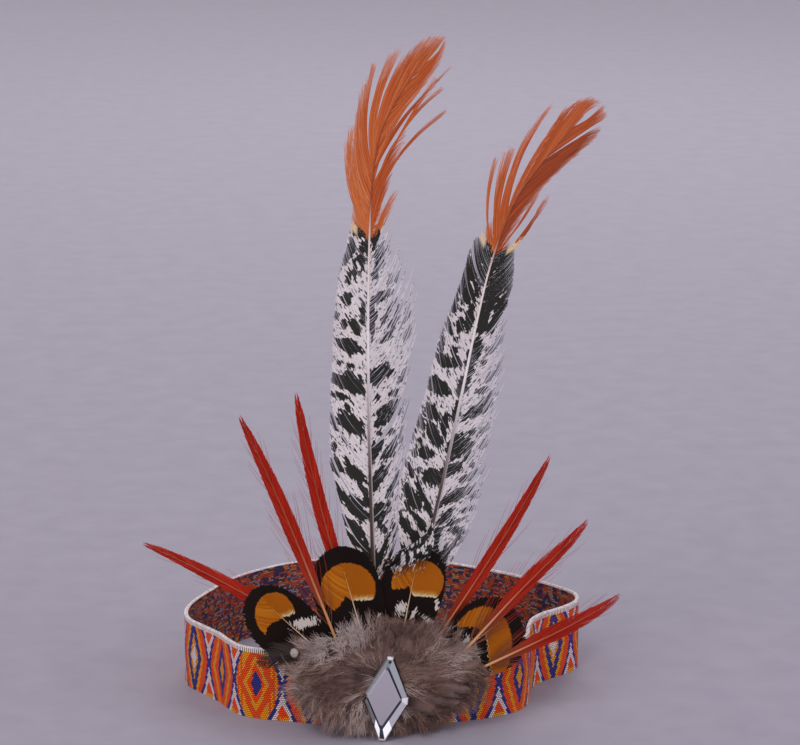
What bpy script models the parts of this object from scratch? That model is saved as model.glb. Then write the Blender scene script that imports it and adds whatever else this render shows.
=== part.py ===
"""Feathered headdress: a woven stretch band standing on its edge, with a fan of
feathers, a pad of down and a cut stone fastened to its front.

Metres, +Z up. The front faces -Y and the origin is under the middle of the
band's front wall, on the surface that the band stands on.
"""
import math

import bmesh
import bpy
from mathutils import Matrix, Vector

MM = 0.001

# Band: a jacquard elastic sewn into a loop that fits a head
LOOP_WIDTH = 159 * MM
LOOP_DEPTH = 130 * MM
BAND_HEIGHT = 28 * MM
BAND_WALL = 1.4 * MM
BAND_STEPS = 4

# Gap that neighbouring pieces keep
GAP = 0.35 * MM

# Fan: every feather follows a gentle curve round the front of the band, and some
# lean back, by a share of how far they reach beyond the hub
FAN_RADIUS = 160 * MM
HUB_X = -5 * MM
HUB_Z = 18 * MM
HUB_RADIUS = 14 * MM
TAIL_LEFT_LEAN = 0.06
TAIL_RIGHT_LEAN = 0.045
RED_LEAN = 0.03

# Quills and vanes
TAIL_QUILL = 2.2 * MM
RED_QUILL = 1.4 * MM
EYED_QUILL = 1.2 * MM
DARK_QUILL = 1.0 * MM
TAIL_VANE = 0.8 * MM
SMALL_VANE = 0.7 * MM
TAIL_CAMBER = 1.2 * MM

# Cut of each family's vane: how far the edges lean to the tip as a share of
# their distance, how much every other row is shortened, and the rows
TAIL_CUT = (0.6, 0.10, 26)
RED_CUT = (0.9, 0.12, 14)
EYED_CUT = (0.3, 0.05, 16)
DARK_CUT = (0.5, 0.12, 8)
SHAFT_STEPS = 400

# Lengths along the shaft, and widths across the vane at its broadest
TAIL_LEFT_LENGTH = 258 * MM
TAIL_LEFT_WIDTH = 34 * MM
TAIL_RIGHT_LENGTH = 242 * MM
TAIL_RIGHT_WIDTH = 36 * MM
RED_LENGTHS = (95 * MM, 109 * MM, 122 * MM, 109 * MM, 78 * MM, 70 * MM)
RED_WIDTH = 5.4 * MM
RED_BROAD_WIDTH = 7.0 * MM
EYED_LENGTHS = (55 * MM, 58 * MM, 55 * MM, 40 * MM)
EYED_WIDTH = 24 * MM
EYED_BROAD_WIDTH = 29 * MM
DARK_LENGTH = 22 * MM
DARK_WIDTH = 7 * MM

# Loose locks of the tail feathers' dyed tips
LOCK_WIDTH = 3.0 * MM
LOCK_THICKNESS = 1.0 * MM
LOCK_STAGGER = 0.14 * MM

# Down pad in front of the quills
DOWN_WIDTH = 81 * MM
DOWN_HEIGHT = 41 * MM
DOWN_CENTRE_X = -8.5 * MM
DOWN_CENTRE_Z = 24 * MM
DOWN_FLAP = 5.2 * MM
DOWN_TUFTS = 26
DOWN_TUFT_RELIEF = 1.2 * MM
DOWN_ROOT_WIDTH = 40 * MM
DOWN_ROOT_TOP = 11.4 * MM
DOWN_ROOT_HEIGHT = 4.5 * MM

# Sew-on stone: a long rhombus with a flat back
STONE_LENGTH = 33 * MM
STONE_WIDTH = 16.8 * MM
STONE_THICKNESS = 4.6 * MM
STONE_GIRDLE = 1.0 * MM
STONE_SEAT = 5.3 * MM
STONE_TILT = -5.0
STONE_ROLL = 5.5
STONE_CENTRE_X = -10.2 * MM
STONE_CENTRE_Z = 16.7 * MM
STONE_HOLE = 1.2 * MM
STONE_HOLE_INSET = 4.6 * MM

# Layers, as the distance of a feather's middle from the band's outer face:
# tails, first red feathers, two rows of eyed feathers, last red feathers, down
TAIL_LAYER = GAP + TAIL_QUILL / 2
RED_BACK_LAYER = TAIL_LAYER + TAIL_QUILL / 2 + GAP + RED_QUILL / 2
EYED_BACK_LAYER = RED_BACK_LAYER + RED_QUILL / 2 + GAP + EYED_QUILL / 2
EYED_FRONT_LAYER = EYED_BACK_LAYER + EYED_QUILL / 2 + SMALL_VANE / 2 + GAP
RED_FRONT_LAYER = EYED_FRONT_LAYER + EYED_QUILL / 2 + GAP + RED_QUILL / 2
STACK_DEPTH = RED_FRONT_LAYER + RED_QUILL / 2 + GAP

# Outline of the loop seen from above, clockwise from the middle of the front:
# x as a share of half the width, y as a share of the depth
LOOP_OUTLINE = (
    (0.0, 0.0), (-0.23, 0.011), (-0.39, 0.038), (-0.54, 0.077), (-0.68, 0.114),
    (-0.775, 0.155), (-0.825, 0.215), (-0.865, 0.285), (-0.93, 0.36),
    (-0.99, 0.435), (-1.0, 0.51), (-0.96, 0.60), (-0.87, 0.70), (-0.74, 0.82),
    (-0.60, 0.90), (-0.42, 0.968), (-0.22, 0.997), (0.0, 1.0), (0.22, 0.97),
    (0.43, 0.90), (0.65, 0.79), (0.80, 0.695), (0.92, 0.60), (0.985, 0.52),
    (0.965, 0.445), (0.88, 0.388), (0.77, 0.34), (0.695, 0.285), (0.655, 0.215),
    (0.625, 0.14), (0.56, 0.08), (0.45, 0.04), (0.30, 0.015), (0.15, 0.002),
)

# Roots of the feathers behind the down, as shares of half the down's width and
# height from its middle
TAIL_LEFT_ROOT = (-0.062, -0.561)
TAIL_RIGHT_ROOT = (0.047, -0.488)
RED_ROOTS = (
    (-0.141, 0.024), (-0.346, -0.073), (-0.099, -0.512),
    (0.081, -0.556), (0.556, 0.0), (0.704, -0.146),
)
EYED_ROOTS = ((-0.156, -0.332), (-0.086, -0.293), (0.086, -0.244), (0.358, -0.171))
DARK_ROOT = (-0.704, 0.268)

# Vanes: share of the length, then the widths left and right of the shaft as
# shares of the vane's width
TAIL_LEFT_VANE = (
    (0.17, 0.04, 0.04), (0.22, 0.22, 0.26), (0.27, 0.34, 0.37), (0.33, 0.42, 0.42),
    (0.40, 0.42, 0.45), (0.47, 0.39, 0.47), (0.53, 0.36, 0.51), (0.58, 0.34, 0.56),
    (0.62, 0.31, 0.52), (0.655, 0.26, 0.38), (0.69, 0.19, 0.20), (0.74, 0.18, 0.13),
    (0.80, 0.20, 0.11), (0.86, 0.20, 0.10), (0.91, 0.17, 0.09), (0.96, 0.10, 0.07),
    (1.0, 0.015, 0.015),
)
TAIL_RIGHT_VANE = (
    (0.185, 0.04, 0.04), (0.23, 0.20, 0.38), (0.28, 0.34, 0.50), (0.34, 0.44, 0.55),
    (0.41, 0.42, 0.53), (0.49, 0.37, 0.48), (0.57, 0.37, 0.44), (0.62, 0.35, 0.38),
    (0.66, 0.29, 0.27), (0.70, 0.26, 0.18), (0.75, 0.20, 0.12), (0.80, 0.13, 0.10),
    (0.86, 0.11, 0.15), (0.92, 0.12, 0.18), (0.97, 0.12, 0.16), (1.0, 0.05, 0.07),
)
RED_VANE = (
    (0.30, 0.16, 0.16), (0.38, 0.42, 0.40), (0.48, 0.50, 0.50), (0.58, 0.48, 0.48),
    (0.68, 0.44, 0.44), (0.78, 0.38, 0.38), (0.86, 0.28, 0.28), (0.93, 0.16, 0.16),
    (1.0, 0.03, 0.03),
)
EYED_VANE = (
    (0.16, 0.08, 0.08), (0.28, 0.28, 0.28), (0.40, 0.40, 0.40), (0.52, 0.46, 0.46),
    (0.64, 0.50, 0.50), (0.75, 0.49, 0.49), (0.85, 0.43, 0.43), (0.93, 0.32, 0.32),
    (0.98, 0.18, 0.18), (1.0, 0.06, 0.06),
)
DARK_VANE = (
    (0.20, 0.12, 0.12), (0.45, 0.46, 0.46), (0.65, 0.50, 0.50), (0.85, 0.34, 0.34),
    (1.0, 0.06, 0.06),
)

# Headings of the shafts in degrees from +X, seen from the front, with the
# share of the length where each holds
TAIL_LEFT_TURNS = (
    (0.0, 92.5), (0.35, 91.0), (0.60, 89.0), (0.72, 87.0), (0.80, 82.0),
    (0.86, 64.0), (0.92, 53.0), (1.0, 54.0),
)
TAIL_RIGHT_TURNS = (
    (0.0, 75.5), (0.30, 76.5), (0.55, 78.0), (0.66, 76.0), (0.72, 70.0),
    (0.78, 66.0), (0.83, 50.0), (0.90, 44.0), (1.0, 40.0),
)
RED_TURNS = (
    ((0.0, 148), (0.5, 151), (0.8, 157), (1.0, 163)),
    ((0.0, 110), (0.5, 111), (1.0, 115)),
    ((0.0, 106), (0.5, 105), (1.0, 99)),
    ((0.0, 54.5), (0.6, 55), (1.0, 59)),
    ((0.0, 47), (0.4, 44), (0.7, 38.5), (1.0, 43)),
    ((0.0, 21), (0.5, 17), (0.8, 19), (1.0, 26)),
)
EYED_TURNS = (
    ((0.0, 143), (0.5, 139), (1.0, 134)),
    ((0.0, 106), (1.0, 105)),
    ((0.0, 84), (0.5, 80), (1.0, 76)),
    ((0.0, 36), (1.0, 34)),
)
DARK_TURNS = ((0.0, 160), (1.0, 190))

# Locks of the dyed tips: share of the shaft where each leaves, its heading at
# the root and at the tip, and its length as a share of the feather's
TAIL_LEFT_LOCKS = (
    (0.755, 112, 124, 0.070), (0.775, 102, 112, 0.080), (0.80, 96, 99, 0.105),
    (0.83, 92, 95, 0.108), (0.865, 80, 80, 0.102), (0.895, 71, 71, 0.088),
    (0.875, 33, 40, 0.106), (0.84, 28, 38, 0.106), (0.765, 33, 48, 0.150),
)
TAIL_RIGHT_LOCKS = (
    (0.70, 96, 102, 0.130), (0.715, 82, 88, 0.172), (0.735, 74, 80, 0.172),
    (0.755, 68, 74, 0.172), (0.80, 61, 68, 0.162), (0.705, 46, 54, 0.135),
)


def clear_scene():
    for item in list(bpy.data.objects):
        bpy.data.objects.remove(item, do_unlink=True)


def collection(name):
    group = bpy.data.collections.new(name)
    bpy.context.scene.collection.children.link(group)
    return group


def material(name, colour, roughness, metallic=0.0):
    finish = bpy.data.materials.new(name)
    finish.use_nodes = True
    shader = finish.node_tree.nodes["Principled BSDF"]
    shader.inputs["Base Color"].default_value = (*colour, 1.0)
    shader.inputs["Roughness"].default_value = roughness
    shader.inputs["Metallic"].default_value = metallic
    finish.diffuse_color = (*colour, 1.0)
    return finish


def add_object(name, mesh, group, finish=None):
    item = bpy.data.objects.new(name, mesh)
    group.objects.link(item)
    if finish:
        mesh.materials.append(finish)
    return item


def between(table, share):
    """Row of a table of (share, value, ...) at any share, eased between rows."""
    for low, high in zip(table, table[1:]):
        if share <= high[0]:
            t = (share - low[0]) / (high[0] - low[0])
            t = min(max(t, 0.0), 1.0)
            return [a + (b - a) * t for a, b in zip(low[1:], high[1:])]
    return list(table[-1][1:])


def loft(rings):
    """Closed skin through rings that have the same number of points."""
    bm = bmesh.new()
    rows = [[bm.verts.new(point) for point in ring] for ring in rings]
    for low, high in zip(rows, rows[1:]):
        for i in range(len(low)):
            j = (i + 1) % len(low)
            bm.faces.new((low[i], low[j], high[j], high[i]))
    bm.faces.new(rows[0])
    bm.faces.new(rows[-1])
    bmesh.ops.recalc_face_normals(bm, faces=bm.faces)
    bmesh.ops.triangulate(bm, faces=bm.faces)
    mesh = bpy.data.meshes.new("loft")
    bm.to_mesh(mesh)
    bm.free()
    return mesh


def cut_or_join(target, tool, operation):
    """Boolean with the exact solver, applied at once; the tool is removed."""
    step = target.modifiers.new(operation.lower(), "BOOLEAN")
    step.operation = operation
    step.solver = "EXACT"
    step.object = tool
    bpy.context.view_layer.update()
    seen = target.evaluated_get(bpy.context.evaluated_depsgraph_get())
    mesh = bpy.data.meshes.new_from_object(seen)
    target.modifiers.remove(step)
    old = target.data
    target.data = mesh
    bpy.data.meshes.remove(old)
    bpy.data.objects.remove(tool, do_unlink=True)


def closed_curve(points, steps):
    """Smooth closed line through the points (Catmull-Rom)."""
    line = []
    count = len(points)
    for i in range(count):
        before, here, there, after = (points[(i + k) % count] for k in (-1, 0, 1, 2))
        for k in range(steps):
            t = k / steps
            line.append(0.5 * (2 * here + (there - before) * t
                               + (2 * before - 5 * here + 4 * there - after) * t ** 2
                               + (3 * here - before - 3 * there + after) * t ** 3))
    return line


def loop_line():
    """Middle line of the band's wall, seen from above."""
    points = [Vector((x * LOOP_WIDTH / 2, y * LOOP_DEPTH)) for x, y in LOOP_OUTLINE]
    return closed_curve(points, BAND_STEPS)


def headband(group):
    bm = bmesh.new()
    rim = [bm.verts.new((p.x, p.y, 0.0)) for p in loop_line()]
    edges = [bm.edges.new((a, b)) for a, b in zip(rim, rim[1:] + rim[:1])]
    wall = bmesh.ops.extrude_edge_only(bm, edges=edges)["geom"]
    raised = [part for part in wall if isinstance(part, bmesh.types.BMVert)]
    bmesh.ops.translate(bm, verts=raised, vec=(0.0, 0.0, BAND_HEIGHT))
    bmesh.ops.recalc_face_normals(bm, faces=bm.faces)
    mesh = bpy.data.meshes.new("headband")
    bm.to_mesh(mesh)
    bm.free()
    band = add_object("headband", mesh, group,
                      material("woven elastic", (0.62, 0.18, 0.06), 0.85))
    wall = band.modifiers.new("wall", "SOLIDIFY")
    wall.thickness = BAND_WALL
    wall.offset = 0.0
    wall.use_even_offset = True
    wall.use_rim = True
    return band


def fan_face(x, reach, lean):
    """Depth of the fan's surface at x, leaning back with the reach from the hub."""
    return -BAND_WALL / 2 + x * x / (2 * FAN_RADIUS) + lean * reach


def place(x, z, layer, lean):
    reach = max(0.0, math.hypot(x - HUB_X, z - HUB_Z) - HUB_RADIUS)
    return Vector((x, fan_face(x, reach, lean) - layer, z))


def root_point(root):
    """Point (x, z) of a root that is given as shares of the down's half size."""
    return (DOWN_CENTRE_X + root[0] * DOWN_WIDTH / 2,
            DOWN_CENTRE_Z + root[1] * DOWN_HEIGHT / 2)


def shaft_line(base, turns, length, shares):
    """Points (x, z) and headings of a shaft at each share of its length."""
    x, z = base
    found = []
    wanted = list(shares)
    for i in range(SHAFT_STEPS + 1):
        share = i / SHAFT_STEPS
        heading = math.radians(between(turns, share)[0])
        while wanted and wanted[0] <= share + 1e-9:
            found.append((x, z, heading))
            wanted.pop(0)
        x += math.cos(heading) * length / SHAFT_STEPS
        z += math.sin(heading) * length / SHAFT_STEPS
    return found


def feather(name, group, finish, root, turns, length, vane, width, layer, quill,
            vane_thickness, cut, lean=0.0, camber=0.0):
    """A quill that widens into a thin vane, lofted as one closed skin.

    Each ring has ten points: two at each edge of the vane, two half way to the
    shaft on each side, and one on the front and back of the shaft. The cut moves
    the edges towards the tip, as barbs do, and shortens every other row of
    barbs, so that the edge is ragged.
    """
    slant, ragged, rows = cut
    base = root_point(root)
    start = vane[0][0]
    shares = [0.0, start * 0.55, start * 0.95]
    shares += [start + (1.0 - start) * i / rows for i in range(rows + 1)]
    line = shaft_line(base, turns, length, shares)
    rings = []
    for index, (share, (x, z, heading)) in enumerate(zip(shares, line)):
        along = Vector((math.cos(heading), math.sin(heading)))
        side = Vector((-along.y, along.x))
        radius = quill / 2 * (1.0 - 0.62 * share)
        vaned = share >= start
        if vaned:
            left, right = (value * width for value in between(vane, share))
            if index % 2:
                left *= 1.0 - ragged
                right *= 1.0 - ragged
            left = max(left, radius)
            right = max(right, radius)
            edge = vane_thickness / 2
            middle = edge
            push = slant
        else:
            left = right = radius
            edge = radius * 0.4
            middle = radius * 0.87
            push = 0.0
        radius = max(radius, edge)
        if share > 0.97:
            radius = edge
        ring = []
        front = ((left, edge), (left / 2, middle), (0.0, radius),
                 (-right / 2, middle), (-right, edge))
        for out, half in front:
            ring.append((out, half))
        for out, half in reversed(front):
            ring.append((out, -half))
        points = []
        for out, half in ring:
            forward = abs(out) * push
            if share > 0.9:
                forward *= (1.0 - share) / 0.1
            px = x + side.x * out + along.x * forward
            pz = z + side.y * out + along.y * forward
            bow = camber * (out / width) ** 2 * 4 if vaned else 0.0
            points.append(place(px, pz, layer + half - bow, lean))
        rings.append(points)
    return add_object(name, loft(rings), group, finish)


def lock(base, heading, end_heading, length, layer, lean, width, thickness):
    """One tapered lock of barbs, as a curved blade with a diamond section."""
    shares = (0.0, 0.25, 0.5, 0.75, 1.0)
    widths = (0.55, 1.0, 0.85, 0.5, 0.08)
    turns = ((0.0, heading), (1.0, end_heading))
    rings = []
    for share, wide, (x, z, angle) in zip(shares, widths,
                                          shaft_line(base, turns, length, shares)):
        side = Vector((-math.sin(angle), math.cos(angle)))
        half = width / 2 * wide
        rise = thickness / 2 * max(wide, 0.3)
        ring = ((half, 0.0), (0.0, rise), (-half, 0.0), (0.0, -rise))
        rings.append([place(x + side.x * out, z + side.y * out, layer + deep, lean)
                      for out, deep in ring])
    return loft(rings)


def fuse_locks(target, group, meshes):
    for mesh in meshes:
        tool = add_object("lock", mesh, group)
        cut_or_join(target, tool, "UNION")


def tail_feather(name, group, cutters, root, turns, length, vane, width, locks, lean):
    finish = material(name.replace("_", " "), (0.55, 0.52, 0.50), 0.7)
    item = feather(name, group, finish, root, turns, length, vane, width, TAIL_LAYER,
                   TAIL_QUILL, TAIL_VANE, TAIL_CUT, lean=lean, camber=TAIL_CAMBER)
    blades = []
    for number, (share, heading, end_heading, reach) in enumerate(locks):
        (x, z, angle), = shaft_line(root_point(root), turns, length, (share,))
        height = LOCK_STAGGER if number % 2 else -LOCK_STAGGER
        blades.append(lock((x, z), heading, end_heading, reach * length,
                           TAIL_LAYER + height, lean, LOCK_WIDTH, LOCK_THICKNESS))
    fuse_locks(item, cutters, blades)


def tail_feathers(group, cutters):
    tail_feather("tail_feather_left", group, cutters, TAIL_LEFT_ROOT, TAIL_LEFT_TURNS,
                 TAIL_LEFT_LENGTH, TAIL_LEFT_VANE, TAIL_LEFT_WIDTH, TAIL_LEFT_LOCKS,
                 TAIL_LEFT_LEAN)
    tail_feather("tail_feather_right", group, cutters, TAIL_RIGHT_ROOT, TAIL_RIGHT_TURNS,
                 TAIL_RIGHT_LENGTH, TAIL_RIGHT_VANE, TAIL_RIGHT_WIDTH, TAIL_RIGHT_LOCKS,
                 TAIL_RIGHT_LEAN)


def red_feathers(group):
    # layer, lean and width of each, from the left to the right
    kinds = (
        (TAIL_LAYER, RED_LEAN, RED_WIDTH),
        (RED_FRONT_LAYER, 0.0, RED_WIDTH),
        (RED_BACK_LAYER, RED_LEAN, RED_WIDTH),
        (RED_BACK_LAYER, RED_LEAN, RED_WIDTH),
        (RED_FRONT_LAYER, 0.0, RED_BROAD_WIDTH),
        (RED_FRONT_LAYER, 0.0, RED_BROAD_WIDTH),
    )
    for index, (layer, lean, width) in enumerate(kinds):
        finish = material(f"red feather {index + 1}", (0.45, 0.03, 0.015), 0.6)
        feather(f"red_feather_{index + 1}", group, finish, RED_ROOTS[index],
                RED_TURNS[index], RED_LENGTHS[index], RED_VANE, width, layer, RED_QUILL,
                SMALL_VANE, RED_CUT, lean=lean)


def eyed_feathers(group):
    kinds = (
        (EYED_BACK_LAYER, EYED_WIDTH),
        (EYED_FRONT_LAYER, EYED_WIDTH),
        (EYED_BACK_LAYER, EYED_WIDTH),
        (EYED_FRONT_LAYER, EYED_BROAD_WIDTH),
    )
    for index, (layer, width) in enumerate(kinds):
        finish = material(f"eyed feather {index + 1}", (0.50, 0.20, 0.04), 0.6)
        feather(f"eyed_feather_{index + 1}", group, finish, EYED_ROOTS[index],
                EYED_TURNS[index], EYED_LENGTHS[index], EYED_VANE, width, layer,
                EYED_QUILL, SMALL_VANE, EYED_CUT)


def dark_feather(group):
    finish = material("dark side feather", (0.05, 0.025, 0.02), 0.6)
    feather("dark_side_feather", group, finish, DARK_ROOT, DARK_TURNS, DARK_LENGTH,
            DARK_VANE, DARK_WIDTH, RED_FRONT_LAYER, DARK_QUILL, SMALL_VANE, DARK_CUT)


def down_front(x, layer):
    """Depth of a point of the down pad that lies at a layer of the fan."""
    return fan_face(x, 0.0, 0.0) - layer


def down_outline(number):
    """Radius of the down's edge and how far its tuft stands proud there, as
    shares, at one of the four points of each tuft: valley, rise, tip and fall."""
    tuft, step = divmod(number, 4)
    uneven = 0.10 * math.sin(tuft * 2.4) + 0.05 * math.cos(tuft * 5.1)
    reach = (0.80, 0.93, 1.0, 0.90)[step]
    proud = (0.0, 0.6, 1.0, 0.5)[step]
    if step:
        reach += uneven * proud
    return reach, proud


def down_flap(cutters):
    """Tufts that fan out from the middle, over the roots of the feathers."""
    count = 4 * DOWN_TUFTS
    levels = (0.12, 0.35, 0.58, 0.78, 0.92, 1.0)
    front = (1.0, 0.97, 0.86, 0.66, 0.42, 0.16)
    bm = bmesh.new()
    face_rows = []
    for side in (1, 0):
        rows = []
        for level, rise in zip(levels, front):
            row = []
            for number in range(count):
                reach, proud = down_outline(number)
                angle = 2 * math.pi * number / count
                swirl = math.radians(7) * math.sin(number * 0.37) * level ** 3
                radius = level * (reach if level > 0.9 else 0.5 + 0.5 * reach)
                x = DOWN_CENTRE_X + math.cos(angle + swirl) * DOWN_WIDTH / 2 * radius
                z = DOWN_CENTRE_Z + math.sin(angle + swirl) * DOWN_HEIGHT / 2 * radius
                deep = STACK_DEPTH
                if side:
                    deep += DOWN_FLAP * rise + DOWN_TUFT_RELIEF * proud * level
                row.append(bm.verts.new((x, down_front(x, deep), z)))
            rows.append(row)
        face_rows.append(rows)
    outer, inner = face_rows
    skin = outer + inner[::-1]
    for low, high in zip(skin, skin[1:]):
        for i in range(count):
            j = (i + 1) % count
            bm.faces.new((low[i], low[j], high[j], high[i]))
    for row, deep in ((outer[0], STACK_DEPTH + DOWN_FLAP), (inner[0], STACK_DEPTH)):
        tip = bm.verts.new((DOWN_CENTRE_X, down_front(DOWN_CENTRE_X, deep), DOWN_CENTRE_Z))
        for i in range(count):
            bm.faces.new((row[i], row[(i + 1) % count], tip))
    bmesh.ops.recalc_face_normals(bm, faces=bm.faces)
    bmesh.ops.triangulate(bm, faces=bm.faces)
    mesh = bpy.data.meshes.new("down flap")
    bm.to_mesh(mesh)
    bm.free()
    return add_object("down_flap", mesh, cutters)


def down_root(cutters):
    """Down packed under the quills, from the band's face out to the flap."""
    steps = 12
    left = DOWN_CENTRE_X - DOWN_ROOT_WIDTH / 2
    rings = []
    for i in range(steps + 1):
        across = i / steps
        x = left + DOWN_ROOT_WIDTH * across
        swell = math.sin(math.pi * min(max(across, 0.06), 0.94))
        low = DOWN_ROOT_TOP - DOWN_ROOT_HEIGHT * swell
        back = down_front(x, GAP)
        front = down_front(x, STACK_DEPTH + GAP)
        rings.append([Vector((x, back, low)), Vector((x, front, low)),
                      Vector((x, front, DOWN_ROOT_TOP)), Vector((x, back, DOWN_ROOT_TOP))])
    return add_object("down_root", loft(rings), cutters)


def stone_frame():
    """Matrix that carries the stone from its own frame to its place."""
    turn = Matrix.Rotation(math.radians(STONE_TILT), 4, "X")
    roll = Matrix.Rotation(math.radians(STONE_ROLL), 4, "Y")
    deep = STACK_DEPTH + STONE_SEAT
    centre = Vector((STONE_CENTRE_X, down_front(STONE_CENTRE_X, deep), STONE_CENTRE_Z))
    return Matrix.Translation(centre) @ turn @ roll


def rhombus(length, width, tip_cut, side_cut, y):
    """Eight corners of a rhombus whose tips and sides are cut off."""
    half_l, half_w = length / 2, width / 2
    tip = (half_w * tip_cut, half_l * (1 - tip_cut))
    waist = (half_w * (1 - side_cut), half_l * side_cut)
    quarter = [tip, waist]
    ring = []
    for sx, sz, order in ((1, 1, (0, 1)), (1, -1, (1, 0)), (-1, -1, (0, 1)), (-1, 1, (1, 0))):
        for k in order:
            ring.append(Vector((quarter[k][0] * sx, y, quarter[k][1] * sz)))
    return ring


def stone_body(grow=0.0):
    """Flat back, girdle, two rows of crown facets and a table, from the back."""
    length, width = STONE_LENGTH + 2 * grow, STONE_WIDTH + 2 * grow
    back = grow
    rings = (
        rhombus(length * 0.86, width * 0.84, 0.10, 0.10, back),
        rhombus(length, width, 0.06, 0.07, -STONE_GIRDLE),
        rhombus(length, width, 0.06, 0.07, -2 * STONE_GIRDLE),
        rhombus(length * 0.90, width * 0.93, 0.08, 0.08, -STONE_THICKNESS * 0.66),
        rhombus(length * 0.66, width * 0.80, 0.10, 0.12, -STONE_THICKNESS - grow),
    )
    return loft(rings)


def stone(group, cutters):
    item = add_object("crystal", stone_body(), group,
                      material("cut glass", (0.72, 0.74, 0.78), 0.05, 0.6))
    reach = STONE_LENGTH / 2 - STONE_HOLE_INSET
    for side in (1, -1):
        bm = bmesh.new()
        bmesh.ops.create_cone(bm, cap_ends=True, segments=10, radius1=STONE_HOLE / 2,
                              radius2=STONE_HOLE / 2, depth=4 * STONE_THICKNESS)
        bmesh.ops.rotate(bm, verts=bm.verts, matrix=Matrix.Rotation(math.pi / 2, 3, "X"))
        bmesh.ops.translate(bm, verts=bm.verts, vec=(0.0, 0.0, side * reach))
        mesh = bpy.data.meshes.new("hole")
        bm.to_mesh(mesh)
        bm.free()
        cut_or_join(item, add_object("hole", mesh, cutters), "DIFFERENCE")
    item.data.transform(stone_frame())
    return item


def down(group, cutters):
    flap = down_flap(cutters)
    cut_or_join(flap, down_root(cutters), "UNION")
    seat = add_object("seat", stone_body(GAP), cutters)
    seat.data.transform(stone_frame())
    cut_or_join(flap, seat, "DIFFERENCE")
    mesh = flap.data.copy()
    bpy.data.objects.remove(flap, do_unlink=True)
    mesh.name = "down mound"
    return add_object("down_mound", mesh, group,
                      material("grey down", (0.20, 0.13, 0.11), 0.9))


def build():
    clear_scene()
    headdress = collection("feathered_headdress")
    cutters = collection("cutters")
    headband(headdress)
    tail_feathers(headdress, cutters)
    red_feathers(headdress)
    eyed_feathers(headdress)
    dark_feather(headdress)
    stone(headdress, cutters)
    down(headdress, cutters)


build()
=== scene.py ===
import math

import bmesh
import bpy
import numpy as np
from mathutils import Matrix, Vector, noise


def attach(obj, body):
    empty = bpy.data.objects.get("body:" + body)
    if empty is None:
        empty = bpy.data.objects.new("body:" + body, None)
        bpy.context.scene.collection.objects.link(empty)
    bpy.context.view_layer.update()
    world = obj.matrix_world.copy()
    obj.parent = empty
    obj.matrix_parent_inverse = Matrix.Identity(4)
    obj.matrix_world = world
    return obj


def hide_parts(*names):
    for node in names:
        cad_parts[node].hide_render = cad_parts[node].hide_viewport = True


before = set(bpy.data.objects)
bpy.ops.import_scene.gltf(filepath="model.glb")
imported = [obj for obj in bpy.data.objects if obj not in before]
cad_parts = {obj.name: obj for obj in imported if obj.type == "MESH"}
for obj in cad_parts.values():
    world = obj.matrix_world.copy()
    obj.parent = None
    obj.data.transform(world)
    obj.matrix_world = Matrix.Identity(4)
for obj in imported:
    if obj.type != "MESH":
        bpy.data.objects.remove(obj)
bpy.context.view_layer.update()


# Camera, floor and lights. A long lens looks down on the standing headdress from
# the front and a little from the left, over a plain pale floor under soft lamps.

def linear(hex_code):
    """sRGB hex to linear RGBA."""
    parts = [int(hex_code[i:i + 2], 16) / 255 for i in (0, 2, 4)]
    return [c / 12.92 if c <= 0.04045 else ((c + 0.055) / 1.055) ** 2.4 for c in parts] + [1.0]


def add(tree, kind, sockets=None, stops=(), blend="LINEAR", **settings):
    """Adds a node: sockets are its values or sources, stops the (place, hex) of a ramp."""
    made = tree.nodes.new(kind)
    for name, value in settings.items():
        setattr(made, name, value)
    if stops:
        made.color_ramp.interpolation = blend
        while len(made.color_ramp.elements) < len(stops):
            made.color_ramp.elements.new(1.0)
        for element, (place, code) in zip(made.color_ramp.elements, stops):
            element.position = place
            element.color = linear(code)
    for name, value in (sockets or {}).items():
        if isinstance(value, bpy.types.Node):
            value = next(out for out in value.outputs if out.enabled)
        if isinstance(value, bpy.types.NodeSocket):
            tree.links.new(value, made.inputs[name])
        else:
            made.inputs[name].default_value = value
    return made


def new_material(name, **shader):
    """Principled material with its plain numbers set straight on the sockets."""
    made = bpy.data.materials.new(name)
    made.use_nodes = True
    tree = made.node_tree
    surface = tree.nodes["Principled BSDF"]
    for key, value in shader.items():
        surface.inputs[key.replace("_", " ")].default_value = value
    return made, tree, surface


camera = bpy.data.objects.new("camera", bpy.data.cameras.new("camera"))
camera.location = (-0.1646, -1.1516, 0.4184)
camera.rotation_euler = (math.radians(76.5), 0.0, math.radians(-8.0))
camera.data.sensor_width = 36.0
camera.data.lens = 144.0
camera.data.clip_end = 50.0
bpy.context.scene.collection.objects.link(camera)
bpy.context.scene.camera = camera

floor_mesh = bpy.data.meshes.new("floor")
floor_mesh.from_pydata([(-6, -6, 0), (6, -6, 0), (6, 6, 0), (-6, 6, 0)], [], [(0, 1, 2, 3)])
floor = bpy.data.objects.new("floor", floor_mesh)
bpy.context.scene.collection.objects.link(floor)

# Matt painted board: a faint mottle, no gloss, and painted light that makes it paler further back
paint, tree, surface = new_material("matt painted board", Roughness=0.85)
place = add(tree, "ShaderNodeTexCoord")
mottle = add(tree, "ShaderNodeTexNoise", {"Vector": place.outputs["Object"], "Scale": 60.0,
                                          "Detail": 4.0})
far = add(tree, "ShaderNodeSeparateXYZ", {0: place.outputs["Object"]})
# Painted light: the board's colour grows paler towards the back
painted_light_far = add(tree, "ShaderNodeMapRange", {"Value": far.outputs[1], "From Min": -0.1, "From Max": 2.2,
                                         "To Min": 0.0, "To Max": 0.75})
faint = add(tree, "ShaderNodeMath", {0: mottle.outputs[0], 1: 0.25}, operation="MULTIPLY")
shade = add(tree, "ShaderNodeMath", {0: faint, 1: painted_light_far}, operation="ADD")
tone = add(tree, "ShaderNodeValToRGB", {0: shade}, stops=((0.0, "8C8798"), (1.0, "C2BDCC")))
tree.links.new(tone.outputs[0], surface.inputs["Base Color"])
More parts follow.
